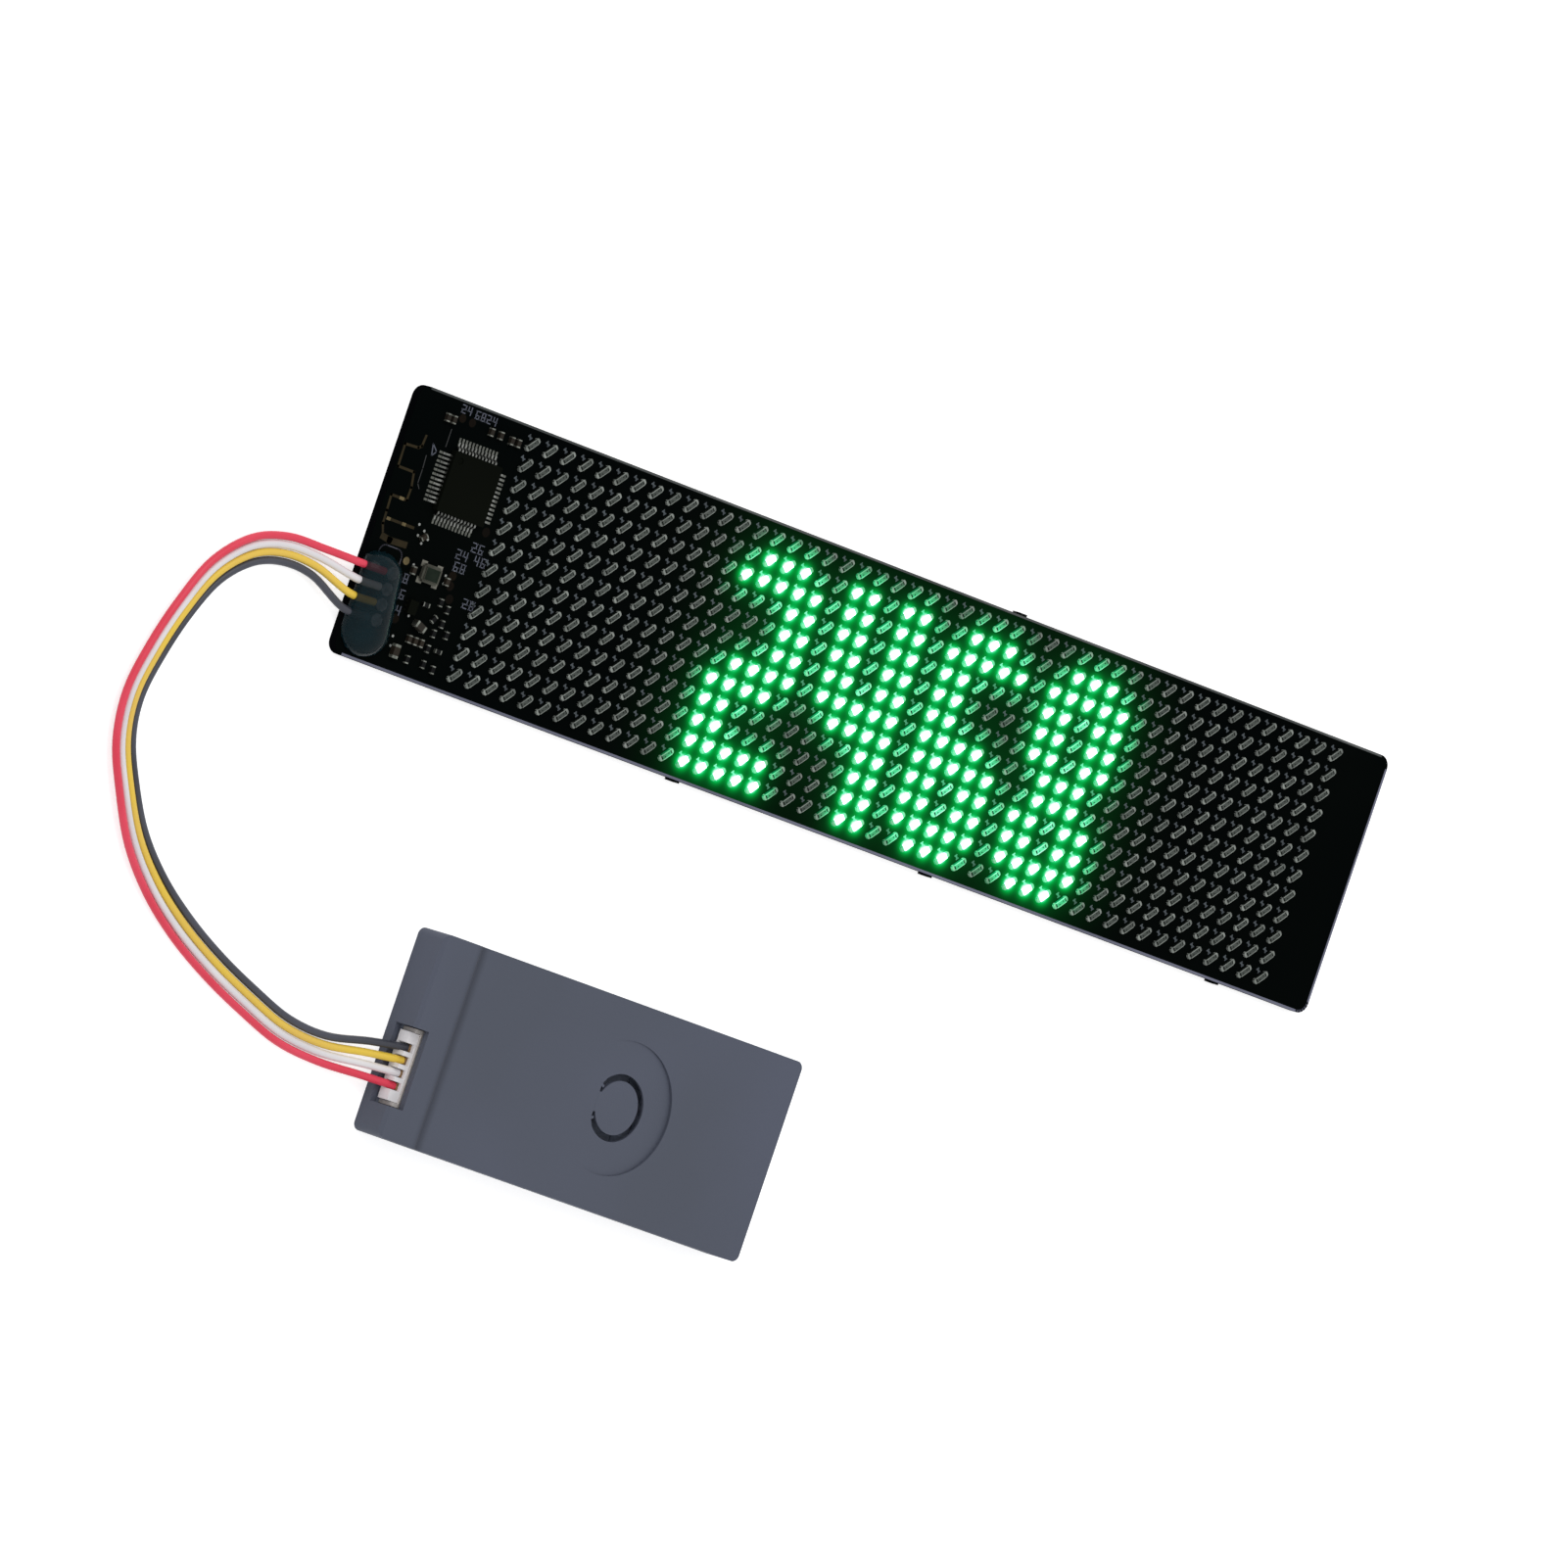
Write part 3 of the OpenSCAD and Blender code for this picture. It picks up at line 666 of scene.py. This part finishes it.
def lit_by_glow(material, glow=PART_GLOW):
    tree = material.node_tree
    reading = tree.nodes.new("ShaderNodeAttribute")
    reading.attribute_name = "glow"
    colors = tree.nodes.new("ShaderNodeValToRGB")
    stops = colors.color_ramp.elements
    for place, color in glow[1:-1]:
        stops.new(place).color = color
    stops[0].color = glow[0][1]
    stops[-1].color = glow[-1][1]
    shader = tree.nodes["Principled BSDF"]
    shader.inputs["Emission Strength"].default_value = 1.0
    link(tree, reading.outputs["Fac"], colors.inputs["Fac"])
    link(tree, colors.outputs["Color"], shader.inputs["Emission Color"])
    return material


print("lit spots:", len(LIT_SPOTS))

# %% [markdown]
# ## What an LED is made of
#
# Unlit, an LED is clear resin over a dark base, with pale soldered ends. Pale strips along the
# resin's long top edges are a painted highlight. All of them take up the green light, so each
# finish reads the glow, and the painted highlights take more of it, as a painted reflection. A
# lit lens gives off so much light that it shows as white, and needs no ramp.

# %% LED finishes
resin = lit_by_glow(finish("led_resin", srgb(50, 57, 53), srgb(66, 72, 67), roughness=0.4,
                           drift_scale=900, Specular_IOR_Level=0.3))
# Pale strips along the lens edges: a painted highlight, which takes more green glow as a painted
# reflection.
resin_rim = lit_by_glow(finish("led_rim", srgb(146, 153, 146), srgb(116, 122, 117),
                               roughness=0.45, drift_scale=900, Specular_IOR_Level=0.3))
led_gap = finish("led_gap", srgb(14, 18, 15), srgb(20, 24, 20), roughness=0.6,
                 Specular_IOR_Level=0.05)
led_end = lit_by_glow(finish("led_end", srgb(146, 152, 146), srgb(96, 101, 97),
                             roughness=0.5, Specular_IOR_Level=0.2, drift_scale=900))
led_base = lit_by_glow(finish("led_base", srgb(20, 25, 22), srgb(14, 18, 15), roughness=0.6,
                              Specular_IOR_Level=0.1))
silk = lit_by_glow(finish("led_mark", srgb(72, 80, 86), srgb(56, 63, 68), roughness=0.7,
                          drift_scale=900))
glowing = finish("led_glowing", srgb(200, 255, 220), srgb(214, 255, 228), roughness=0.4,
                 Emission_Color=srgb(160, 255, 200), Emission_Strength=6.0)
print("LED finishes:", resin.name, resin_rim.name, led_gap.name, led_end.name, led_base.name)

# %% [markdown]
# ## The LEDs themselves
#
# The solids have one plain block for each LED. Here each block is replaced by its lens, the
# painted highlights along the lens, its ends and base, so that light and colour can differ
# between them. Dark gaps part the lens from its ends, and two small dark marks show the chip
# inside.

# %% Lay out the LEDs
LENS, LENS_W, BODY_W, LED_HALF = 1.24 * MM, 0.48 * MM, 0.66 * MM, 1.05 * MM
LENS_LOW, LENS_HIGH = 0.12 * MM, 0.44 * MM
# Sizes of the painted highlight strips along the lens.
HIGHLIGHT_W, HIGHLIGHT_LOW, HIGHLIGHT_PAST = 0.08 * MM, 0.34 * MM, 0.12 * MM
GAP_L, GAP_W, GAP_HIGH, GAP_X = 0.12 * MM, 0.4 * MM, 0.4 * MM, 0.69 * MM
CHIP_L, CHIP_W, CHIP_X, CHIP_Y = 0.16 * MM, 0.12 * MM, 0.3 * MM, 0.06 * MM
END_L, END_HIGH = 0.36 * MM, 0.34 * MM
BASE_L, BASE_IN, BASE_HIGH = 2.0 * MM, 0.04 * MM, 0.3 * MM
LIT_PAST, LIT_SOFT, LENS_SOFT = 0.06 * MM, 0.08 * MM, 0.04 * MM
BOTH = (-1, 1)
rim_y = (LENS_W + HIGHLIGHT_W) / 2
lens_shape = joined("lens", block(LENS, LENS_W, LENS_LOW, LENS_HIGH, LENS_SOFT))
rim_shape = joined("rim", *(block(LENS + HIGHLIGHT_PAST, HIGHLIGHT_W, HIGHLIGHT_LOW, LENS_HIGH, y=side * rim_y)
                            for side in BOTH))
gap_shape = joined("gap", *(block(GAP_L, GAP_W, LENS_LOW, GAP_HIGH, x=side * GAP_X)
                            for side in BOTH),
                   *(block(CHIP_L, CHIP_W, GAP_HIGH, LENS_HIGH + 0.005 * MM,
                           x=side * CHIP_X, y=side * CHIP_Y) for side in BOTH))
ends_shape = joined("ends", *(cap(side, LED_HALF, END_L, BODY_W, 0, END_HIGH)
                              for side in BOTH))
base_shape = joined("base", block(BASE_L, BODY_W - BASE_IN, 0, BASE_HIGH))
lit_shape = joined("lit", block(LENS + LIT_PAST, BODY_W + LIT_PAST, LENS_LOW, LENS_HIGH,
                                LIT_SOFT))
lay_out("led_lenses_lit", lit_shape, LIT_LEDS, glowing, SLANT, slot="led_unlit")
lay_out("led_gaps", gap_shape, DARK_LEDS, led_gap, SLANT, slot="led_unlit")
LED_SOLIDS = [f"led_row_{i}" for i in range(1, ROWS + 1)]
for name, shape, places, material, strong, replaces in (
    ("led_lenses", lens_shape, DARK_LEDS, resin, 1.0, []),
    # The painted lens highlights take more green glow than the lens itself.
    ("led_rims", rim_shape, DARK_LEDS, resin_rim, 1.5, []),
    ("led_bases", base_shape, DARK_LEDS, led_base, 0.5, []),
    ("led_bases_lit", base_shape.copy(), LIT_LEDS, led_base, 0.4, []),
    ("led_ends_lit", ends_shape.copy(), LIT_LEDS, led_end, 0.35, []),
    ("led_ends", ends_shape, DARK_LEDS, led_end, 0.8, LED_SOLIDS),
):
    piece = lay_out(name, shape, places, material, SLANT, slot="led_unlit", replaces=replaces)
    light_up(piece.data, (NEIGHBOUR, strong), (HAZE, PART_HAZE))

# %% [markdown]
# ## Marks between the LEDs
#
# The board has a small printed mark beside each LED, which tells how the LED is turned. Ink
# has almost no height, so each mark is three thin bars in the form of an I.

# %% Polarity marks beside the LEDs
MARK = (-0.49 * MM, 0.7 * MM)
MARK_W, MARK_H, STROKE, INK = 0.44 * MM, 0.6 * MM, 0.15 * MM, 0.02 * MM
mark_shape = joined("mark", block(MARK_W, STROKE, 0, INK, y=(MARK_H - STROKE) / 2),
                    block(MARK_W, STROKE, 0, INK, y=(STROKE - MARK_H) / 2),
                    block(1.6 * STROKE, MARK_H - 2 * STROKE, 0, INK))
for name, leds, spreads in (("polarity_marks", DARK_LEDS, ((NEIGHBOUR, 0.3), (HAZE, PART_HAZE))),
                            ("polarity_marks_lit", LIT_LEDS, ((NEIGHBOUR, 0.6),))):
    places = [(x + MARK[0], y + MARK[1], z, 0) for x, y, z, _ in leds]
    marks = lay_out(name, mark_shape.copy(), places, silk, SLANT)
    light_up(marks.data, *spreads)

# %% [markdown]
# ## Light on the lacquer
#
# The board itself has too few vertices to hold the light around each LED, and its shape is
# not to be changed. A thin skin just above the lit part has enough of them. It is the same
# black as the lacquer, so that only its light shows.

# %% The lit skin
CELL = 0.25 * MM
SKIN_SIDE, SKIN_LIFT = 6 * PITCH_X, 0.01 * MM
SKIN_LIGHT = ((CORE, 1.2), (HALO, 1.2), (NEIGHBOUR, 0.043), (HAZE, 0.003))
skin_low = Vector((FIRST_X + FIRST_COLUMN * PITCH_X - SKIN_SIDE, board_low.y + 0.5 * MM))
skin_high = Vector((FIRST_X + (FIRST_COLUMN + len(DIGITS) * GLYPH_STEP) * PITCH_X + SKIN_SIDE,
                    UPPER - 0.1 * MM))
count_x = int((skin_high.x - skin_low.x) / CELL)
count_y = int((skin_high.y - skin_low.y) / CELL)
bm = bmesh.new()
bmesh.ops.create_grid(bm, x_segments=count_x, y_segments=count_y, size=0.5)
bmesh.ops.scale(bm, vec=(*(skin_high - skin_low), 1), verts=bm.verts)
bmesh.ops.translate(bm, vec=(*((skin_high + skin_low) / 2), BOARD_TOP + SKIN_LIFT),
                    verts=bm.verts)
skin_mesh = as_built("lit_lacquer", bm)
highest = light_up(skin_mesh, *SKIN_LIGHT).max()
lit_lacquer = lit_by_glow(finish("lit_lacquer", **BLACK), LACQUER_GLOW)
keep(skin_mesh, "lit_lacquer", lit_lacquer, slot="board_black")
print("skin", count_x, "x", count_y, "highest", round(float(highest), 2))

# %% [markdown]
# ## The controller's corner of the board
#
# Copper tracks, pads and printed marks are thin plates on the lacquer, placed in
# millimetres from the board's left end and upper edge. The silver ends of the small parts
# and the pads under the chip's leads are laid out from the solids themselves.


# %% Tools for tracks and marks
TINY = MM / 1000


def board_spot(x, y):
    """Where a flat disc goes, given in millimetres on the board."""
    return (LEFT + x * MM, UPPER - y * MM, BOARD_TOP + 0.01 * MM, 0)


def line_block(start, end, width, height):
    """A thin bar on the board from one spot to another."""
    a, b = Vector(start), Vector(end)
    along = b - a
    bm = block(along.length * MM + width * MM, width * MM, 0, height * MM)
    middle = (a + b) / 2
    turn = Matrix.Rotation(-math.atan2(along.y, along.x), 4, "Z")
    move = Matrix.Translation((LEFT + middle.x * MM, UPPER - middle.y * MM, BOARD_TOP))
    bm.transform(move @ turn)
    return bm


def tracks(name, lines, width, material, height=0.02, **how):
    bars = [line_block(a, b, width, height) for line in lines for a, b in zip(line, line[1:])]
    return keep(joined(name, *bars), name, material, **how)


def arc(x, y, r, start, end, steps=5):
    angles = [math.radians(start + (end - start) * i / steps) for i in range(steps + 1)]
    return [(x + r * math.cos(a), y + r * math.sin(a)) for a in angles]


def figures(text, x, y, high=1.1):
    """The strokes of some digits, printed from (x, y) on."""
    unit = high / 10
    wide = 1.5 * unit
    lines = []
    for place, digit in enumerate(text):
        for stroke in DIGIT_STROKES[digit]:
            c0, c1, r0, r1 = STROKES[stroke]
            if c1 - c0 > 1:
                ends = [(c0, r0 + 0.5), (c1, r0 + 0.5)]
            else:
                ends = [(c0 + 0.5, r0 + 0.5), (c0 + 0.5, r1 - 0.5)]
            lines.append([(x + (c + place * GLYPH_STEP) * wide, y + r * unit) for c, r in ends])
    return lines


def solids_of(name):
    """Each separate bar of a node: its foot's middle, its turn, and its three sizes."""
    bm = bmesh.new()
    bm.from_mesh(nodes[name].data)
    bmesh.ops.remove_doubles(bm, verts=bm.verts, dist=TINY)
    waiting = set(bm.verts)
    found = []
    while waiting:
        group = [waiting.pop()]
        for v in group:
            for edge in v.link_edges:
                other = edge.other_vert(v)
                if other in waiting:
                    waiting.remove(other)
                    group.append(other)
        low, high = min(v.co.z for v in group), max(v.co.z for v in group)
        foot = [v.co.xy for v in group if v.co.z < low + TINY]
        sides = sorted((v - foot[0] for v in foot[1:]), key=lambda side: side.length)[:2]
        middle = sum(foot, Vector((0, 0))) / len(foot)
        turn = math.degrees(math.atan2(sides[1].y, sides[1].x))
        found.append(((*middle, low, turn), sides[1].length, sides[0].length, high - low))
    bm.free()
    return found


# %% [markdown]
# ## Silver ends of the chip parts
#
# A chip capacitor or resistor has a metal cap at each end. The solids are plain blocks, so
# their places, turns and sizes are read from them, and a cap is set over each end. That way
# the caps stay with the solids if those are moved.

# %% Silver ends of the small parts
pad_metal = finish("pad_metal", srgb(134, 138, 130), srgb(92, 95, 88), roughness=0.4,
                   Metallic=0.5, drift_scale=1800, spread=0.2)
END_SHARE, END_PROUD, END_SOFT = 0.22, 0.012 * MM, 0.05 * MM
for name in ("chip_capacitors", "chip_resistors", "ferrite_bead", "protection_diode"):
    solids = solids_of(name)
    _, length, width, height = solids[0]
    part = joined("ends", *(block(length * END_SHARE, width + 2 * END_PROUD, 0,
                                  height + END_PROUD, END_SOFT,
                                  x=side * length * (1 - END_SHARE) / 2) for side in BOTH))
    lay_out(name + "_ends", part, [solid[0] for solid in solids], pad_metal)

# %% [markdown]
# ## Pads under the leads
#
# Each lead of the controller stands on a tinned pad that shows beyond its foot. The pads
# could be part of the board, but they are thin and bright, so they are laid on top of it.

# %% Pads of the controller
LEADS_A_SIDE, LEAD_PITCH = 12, 0.5 * MM
PAD_L, PAD_W, PAD_T, PAD_SHOWS = 1.0 * MM, 0.26 * MM, 0.03 * MM, 0.5 * MM
leads_low, leads_high = (Vector(c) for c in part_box("controller_leads"))
chip = (leads_low + leads_high) / 2
reach = (leads_high.x - leads_low.x) / 2 + PAD_SHOWS - PAD_L / 2
chip_pads = []
for side in range(4):
    facing = Matrix.Rotation(math.radians(90 * side), 2)
    for i in range(LEADS_A_SIDE):
        spot = chip.xy + facing @ Vector((reach, (i - (LEADS_A_SIDE - 1) / 2) * LEAD_PITCH))
        chip_pads.append((*spot, BOARD_TOP, 90 * side))
lay_out("chip_pads", joined("pad", block(PAD_L, PAD_W, 0, PAD_T)), chip_pads,
        finish("chip_pad", srgb(104, 107, 100), srgb(72, 74, 68), roughness=0.45, Metallic=0.4,
               drift_scale=2500))

# %% [markdown]
# ## The crystal's pads and lid
#
# The crystal is a small metal can on four pads, with a darker lid. The lid is a thin plate,
# so that it can have a finish of its own without a change to the solid.

# %% Pads and lid of the crystal
CRYSTAL_PAD_L, CRYSTAL_PAD_W = 0.8 * MM, 0.7 * MM
CRYSTAL_PAD_IN_X, CRYSTAL_PAD_IN_Y, LID_IN = 0.15 * MM, 0.1 * MM, 0.7 * MM
LID_T = 0.01 * MM
crystal_low, crystal_high = (Vector(c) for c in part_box("crystal"))
crystal_pad = finish("crystal_pad", srgb(120, 118, 108), srgb(92, 92, 84), roughness=0.4,
                     Metallic=0.5, drift_scale=1800)
crystal_top = finish("crystal_top", srgb(26, 34, 27), srgb(34, 42, 35), roughness=0.45,
                     drift_scale=700, Specular_IOR_Level=0.02)
pads_x = (crystal_low.x + CRYSTAL_PAD_IN_X, crystal_high.x - CRYSTAL_PAD_IN_X)
pads_y = (crystal_low.y + CRYSTAL_PAD_IN_Y, crystal_high.y - CRYSTAL_PAD_IN_Y)
lay_out("crystal_pads", joined("pad", block(CRYSTAL_PAD_L, CRYSTAL_PAD_W, 0, PAD_T)),
        [(x, y, BOARD_TOP, 0) for x in pads_x for y in pads_y], crystal_pad)
lid = crystal_high - crystal_low - Vector((LID_IN, LID_IN, 0))
lay_out("crystal_lid", joined("lid", block(lid.x, lid.y, 0, LID_T)),
        [(*((crystal_low + crystal_high) / 2).xy, crystal_high.z, 0)], crystal_top)

# %% [markdown]
# ## Copper
#
# The wireless antenna is a folded copper track under the lacquer, and shows as a brown line
# with a few bare spots. Its corners are listed one by one, since a folded antenna has no
# simple formula. Round pads and vias are thin discs.

# %% Copper under the lacquer
copper = finish("lacquered_copper", srgb(50, 43, 28), srgb(38, 33, 22), roughness=0.6,
                drift_scale=500, Specular_IOR_Level=0.05)
copper_bright = finish("copper_end", srgb(112, 100, 70), srgb(84, 74, 50), roughness=0.5,
                       drift_scale=500, Specular_IOR_Level=0.1)
copper_faint = finish("faint_copper", srgb(22, 17, 12), srgb(16, 13, 10), roughness=0.6,
                      drift_scale=500, Specular_IOR_Level=0.02)
ANTENNA = [(2.8, 5.3), (2.7, 6.5), (2.3, 6.8), (0.35, 6.9), (0.4, 9.5), (2.8, 9.5), (3.15, 11.2),
           (3.1, 12.7), (0.8, 12.7), (0.9, 14.5), (0.95, 16), (1.3, 16.8)]
tracks("antenna", [ANTENNA], 0.3, copper)
tracks("antenna_stub", [[(1.5, 15.3), (5.2, 15.3)]], 0.32, copper)
tracks("antenna_foot", [[(1.6, 17.35), (2.6, 17.5), (4.8, 17.4)]], 0.75, copper)
tracks("antenna_ends", [[(1.4, 15.3), (1.6, 15.3)], [(3.7, 15.3), (3.9, 15.3)],
                        [(2.2, 12.7), (2.5, 12.7)]], 0.36, copper_bright, 0.03)
tracks("feed", [[(3.7, 7.3), (3.8, 8.8), (3.8, 10.5), (4.2, 11)], [(5.9, 3.6), (5.9, 5.6)]], 0.1,
       finish("feed_track", srgb(34, 34, 36), srgb(26, 26, 28), roughness=0.6))
DISC_R, DISC_T, VIA_SIZE = 0.5 * MM, 0.02 * MM, 0.32
bm = bmesh.new()
bmesh.ops.create_cone(bm, cap_ends=True, segments=16, radius1=DISC_R, radius2=DISC_R,
                      depth=DISC_T)
pad_disc = mesh_of("disc", bm)
for name, spots, material, size in (
    ("faint_pads", [(12.7, 18.75), (12.8, 19.9), (13.3, 21.3), (6.9, 25.4), (15.2, 12.9)],
     copper_faint, 1.1),
    ("test_pads", [(6.9, 2), (8.4, 2.1)], copper_faint, 1),
    ("gold_pad", [(5.8, 19)], copper_bright, 0.9),
):
    lay_out(name, pad_disc.copy(), [board_spot(x, y) for x, y in spots], material,
            size=(size, size, 1))
via_metal = finish("via_metal", srgb(150, 153, 150), srgb(110, 112, 108), roughness=0.4,
                   Metallic=0.3)
VIAS = [(5.9, 14.7), (6.85, 15.2), (6.2, 15.9), (7.7, 15.95), (7, 16.6), (6.95, 19.1),
        (6.95, 20), (11.75, 19), (11.8, 19.9), (7.4, 27.3), (7.5, 28.4), (8.6, 24.6)]
lay_out("vias", pad_disc, [board_spot(x, y) for x, y in VIAS], via_metal,
        size=(VIA_SIZE, VIA_SIZE, 1))

# %% [markdown]
# ## Printed marks
#
# The board is printed in pale ink: a triangle at the controller's first lead, an outline
# around the solder joints, and small figures. They are plain digits drawn by the strokes of
# the lit ones, and say nothing.

# %% Ink on the board
INK_W, NUMBER_W, NUMBER_H = 0.14, 0.12, 0.95
print_white = finish("print_white", srgb(86, 90, 104), srgb(72, 76, 88), roughness=0.7,
                     drift_scale=900)
print_dim = finish("print_dim", srgb(52, 52, 64), srgb(42, 43, 52), roughness=0.7)
triangle = [(4.1, 5.8), (4.9, 6.5), (4.4, 7.1), (4.1, 5.8)]
tracks("pin_mark", [triangle], INK_W, print_white)
numbers = [*figures("24", 6.4, 0.5, NUMBER_H), *figures("6824", 8.5, 0.6, NUMBER_H),
           *figures("26", 14.0, 14.4), *figures("24", 12.2, 15.7), *figures("46", 14.9, 15.7),
           *figures("68", 12.4, 17.1), *figures("28", 15.3, 20.6), *figures("8", 6.2, 20.3),
           *figures("6", 6.4, 22.1), *figures("4", 6.6, 23.9)]
tracks("numbers", numbers, NUMBER_W, print_white)
outline = [(1.6, 19.6), *arc(2.5, 18.9, 0.8, 180, 270), *arc(4.2, 18.9, 0.8, 270, 360),
           (5.1, 22.4)]
tracks("glue_outline", [outline], INK_W, print_dim)
print("printed strokes:", len(numbers))

# %% [markdown]
# ## Glue over the solder joints
#
# A bead of hot glue holds the wires on the board. It could be modelled afresh, but its solid
# already has the right form in flat facets. The hull of that solid is smoother, and lies just
# above the lacquer so that the two don't flicker. It is dark, and clear enough for the ends of
# the wires to show through.

# %% The glue
GLUE_LIFT = 0.02 * MM
bm = bmesh.new()
bm.from_mesh(nodes["glue_bead"].data)
around = bmesh.ops.convex_hull(bm, input=bm.verts)
inside = set(around["geom_interior"]) | set(around["geom_unused"])
bmesh.ops.delete(bm, geom=[v for v in inside if isinstance(v, bmesh.types.BMVert)],
                 context="VERTS")
hull_faces = {f for f in around["geom"] if isinstance(f, bmesh.types.BMFace)}
bmesh.ops.delete(bm, geom=[f for f in bm.faces if f not in hull_faces], context="FACES")
bmesh.ops.dissolve_limit(bm, angle_limit=math.radians(0.5), verts=bm.verts, edges=bm.edges)
bmesh.ops.recalc_face_normals(bm, faces=bm.faces)
for v in bm.verts:
    v.co.z = max(v.co.z, BOARD_TOP + GLUE_LIFT)
glue = as_built("glue", bm)
hot_glue = finish("hot_glue", srgb(13, 35, 41), srgb(8, 26, 31), roughness=0.12,
                  spread=0.04, grain=0.0, drift_scale=300, Specular_IOR_Level=0.1, Alpha=0.8)
keep(glue, "hot_glue", hot_glue, slot="glue", replaces=["glue_bead"], smooth=True)
print("glue faces", len(glue.polygons))

# %% [markdown]
# ## The cut edge of the board
#
# The board's side is nearly as dark as the lacquer, but dull. The walls of the solid are
# copied, moved out a little and given a finish of their own. Thin grey lines along the upper
# face's edges are painted: the pale one along the lower and right edges is painted light on
# the side wall below it, and the dim one along the upper edge is a painted highlight.

# %% Cut edge of the board
EDGE_OUT, EDGE_IN = 0.01 * MM, 0.03 * MM
bm = bmesh.new()
bm.from_mesh(nodes["display_board"].data)
bmesh.ops.remove_doubles(bm, verts=bm.verts, dist=TINY)
flat = [f for f in bm.faces if abs(f.normal.z) > 0.5]
bmesh.ops.delete(bm, geom=flat, context="FACES")
bm.normal_update()
for v in bm.verts:
    v.co += v.normal * EDGE_OUT
    v.co.z += EDGE_IN if v.co.z < BOARD_TOP / 2 else -EDGE_IN
keep(as_built("board_edge", bm), "board_edge", edge_grey, slot="board_black")

RIM, RIM_START = 0.14, 1.5
UPPER_RIM_Y, UPPER_RIM_W = 0.13, 0.24
CORNER_R = BOARD_CORNER - RIM
right, low = (board_high.x - LEFT) / MM - RIM, BOARD_W - RIM
# A pale line on the top face along the lower and right edges: painted light on the side wall
# below.
wall_light_grey = finish("painted_wall_light", srgb(112, 114, 134), srgb(92, 94, 112), roughness=0.7)
# A dim line along the upper edge: a painted highlight.
edge_highlight_grey = finish("painted_edge_highlight", srgb(78, 81, 81), srgb(50, 54, 54), roughness=0.7)
below = [(RIM_START, low), *arc(right - CORNER_R, low - CORNER_R, CORNER_R, 90, 0),
         (right, RIM_START)]
above = [(RIM_START, UPPER_RIM_Y), (right - BOARD_CORNER, UPPER_RIM_Y)]
tracks("cut_rim", [below], 2 * RIM, wall_light_grey, slot="board_black")
tracks("cut_rim_above", [above], UPPER_RIM_W, edge_highlight_grey, slot="board_black")
print("cut edge:", round(right, 1), "x", round(low, 1), "mm")

# %% [markdown]
# ## Stage
#
# The object lies on a plain white ground. A pure white floor would show no shadow, so the
# floor is pale and catches a soft one. Rays from the camera, from gloss and through glass
# see it a little brighter, so that it reads as white.

# %% The floor
FLOOR, FLOOR_Z, FLOOR_LIFT = 4, -0.00002, 0.6
corners = [(-FLOOR, -FLOOR), (FLOOR, -FLOOR), (FLOOR, FLOOR), (-FLOOR, FLOOR)]
floor_mesh = mesh_from("floor", [(x, y, FLOOR_Z) for x, y in corners], [(0, 1, 2, 3)])
floor = bpy.data.objects.new("floor", floor_mesh)
scene.collection.objects.link(floor)


def camera_like(tree):
    """1 for rays that stand for the eye, 0 for those that only light the scene."""
    path = tree.nodes.new("ShaderNodeLightPath").outputs
    seen = calculate(tree, "MAXIMUM", path["Is Camera Ray"], path["Is Glossy Ray"])
    return calculate(tree, "MAXIMUM", seen, path["Is Transmission Ray"])


floor_white = bpy.data.materials.new("floor_white")
floor_white.use_nodes = True
tree = floor_white.node_tree
shader = tree.nodes["Principled BSDF"]
shader.inputs["Base Color"].default_value = (0.82, 0.82, 0.83, 1)
shader.inputs["Roughness"].default_value = 0.9
shader.inputs["Specular IOR Level"].default_value = 0.0
glow_up = tree.nodes.new("ShaderNodeEmission")
link(tree, calculate(tree, "MULTIPLY", camera_like(tree), FLOOR_LIFT), glow_up.inputs["Strength"])
both = tree.nodes.new("ShaderNodeAddShader")
link(tree, shader.outputs[0], both.inputs[0])
link(tree, glow_up.outputs[0], both.inputs[1])
link(tree, both.outputs[0], tree.nodes["Material Output"].inputs["Surface"])
floor_mesh.materials.append(floor_white)
print("floor at", FLOOR_Z)

# %% [markdown]
# ## Light on the scene
#
# The object was lit softly from all around. A white world gives that at once, where many
# lamps would be needed otherwise. It is a little weaker as a light than as a background. One
# wide disc lamp from behind adds the soft shadow.

# %% World and lamp
WORLD_LIGHT, WORLD_SEEN = 0.72, 1.0
world = bpy.data.worlds.new("world")
scene.world = world
world.use_nodes = True
tree = world.node_tree
sky = tree.nodes["Background"]
sky.inputs["Color"].default_value = (1, 1, 1, 1)
level = tree.nodes.new("ShaderNodeMapRange")
level.inputs["To Min"].default_value = WORLD_LIGHT
level.inputs["To Max"].default_value = WORLD_SEEN
link(tree, camera_like(tree), level.inputs["Value"])
link(tree, level.outputs["Result"], sky.inputs["Strength"])

lamp_data = bpy.data.lights.new("soft_box", "AREA")
lamp_data.shape = "DISK"
lamp_data.size = 0.6
lamp_data.energy = 1.8
lamp = bpy.data.objects.new("soft_box", lamp_data)
scene.collection.objects.link(lamp)
lamp.location = (-0.25, 0.5, 0.72)
lamp.rotation_euler = (-lamp.location).to_track_quat("-Z", "Y").to_euler()
print("lamp at", [round(c, 2) for c in lamp.location])
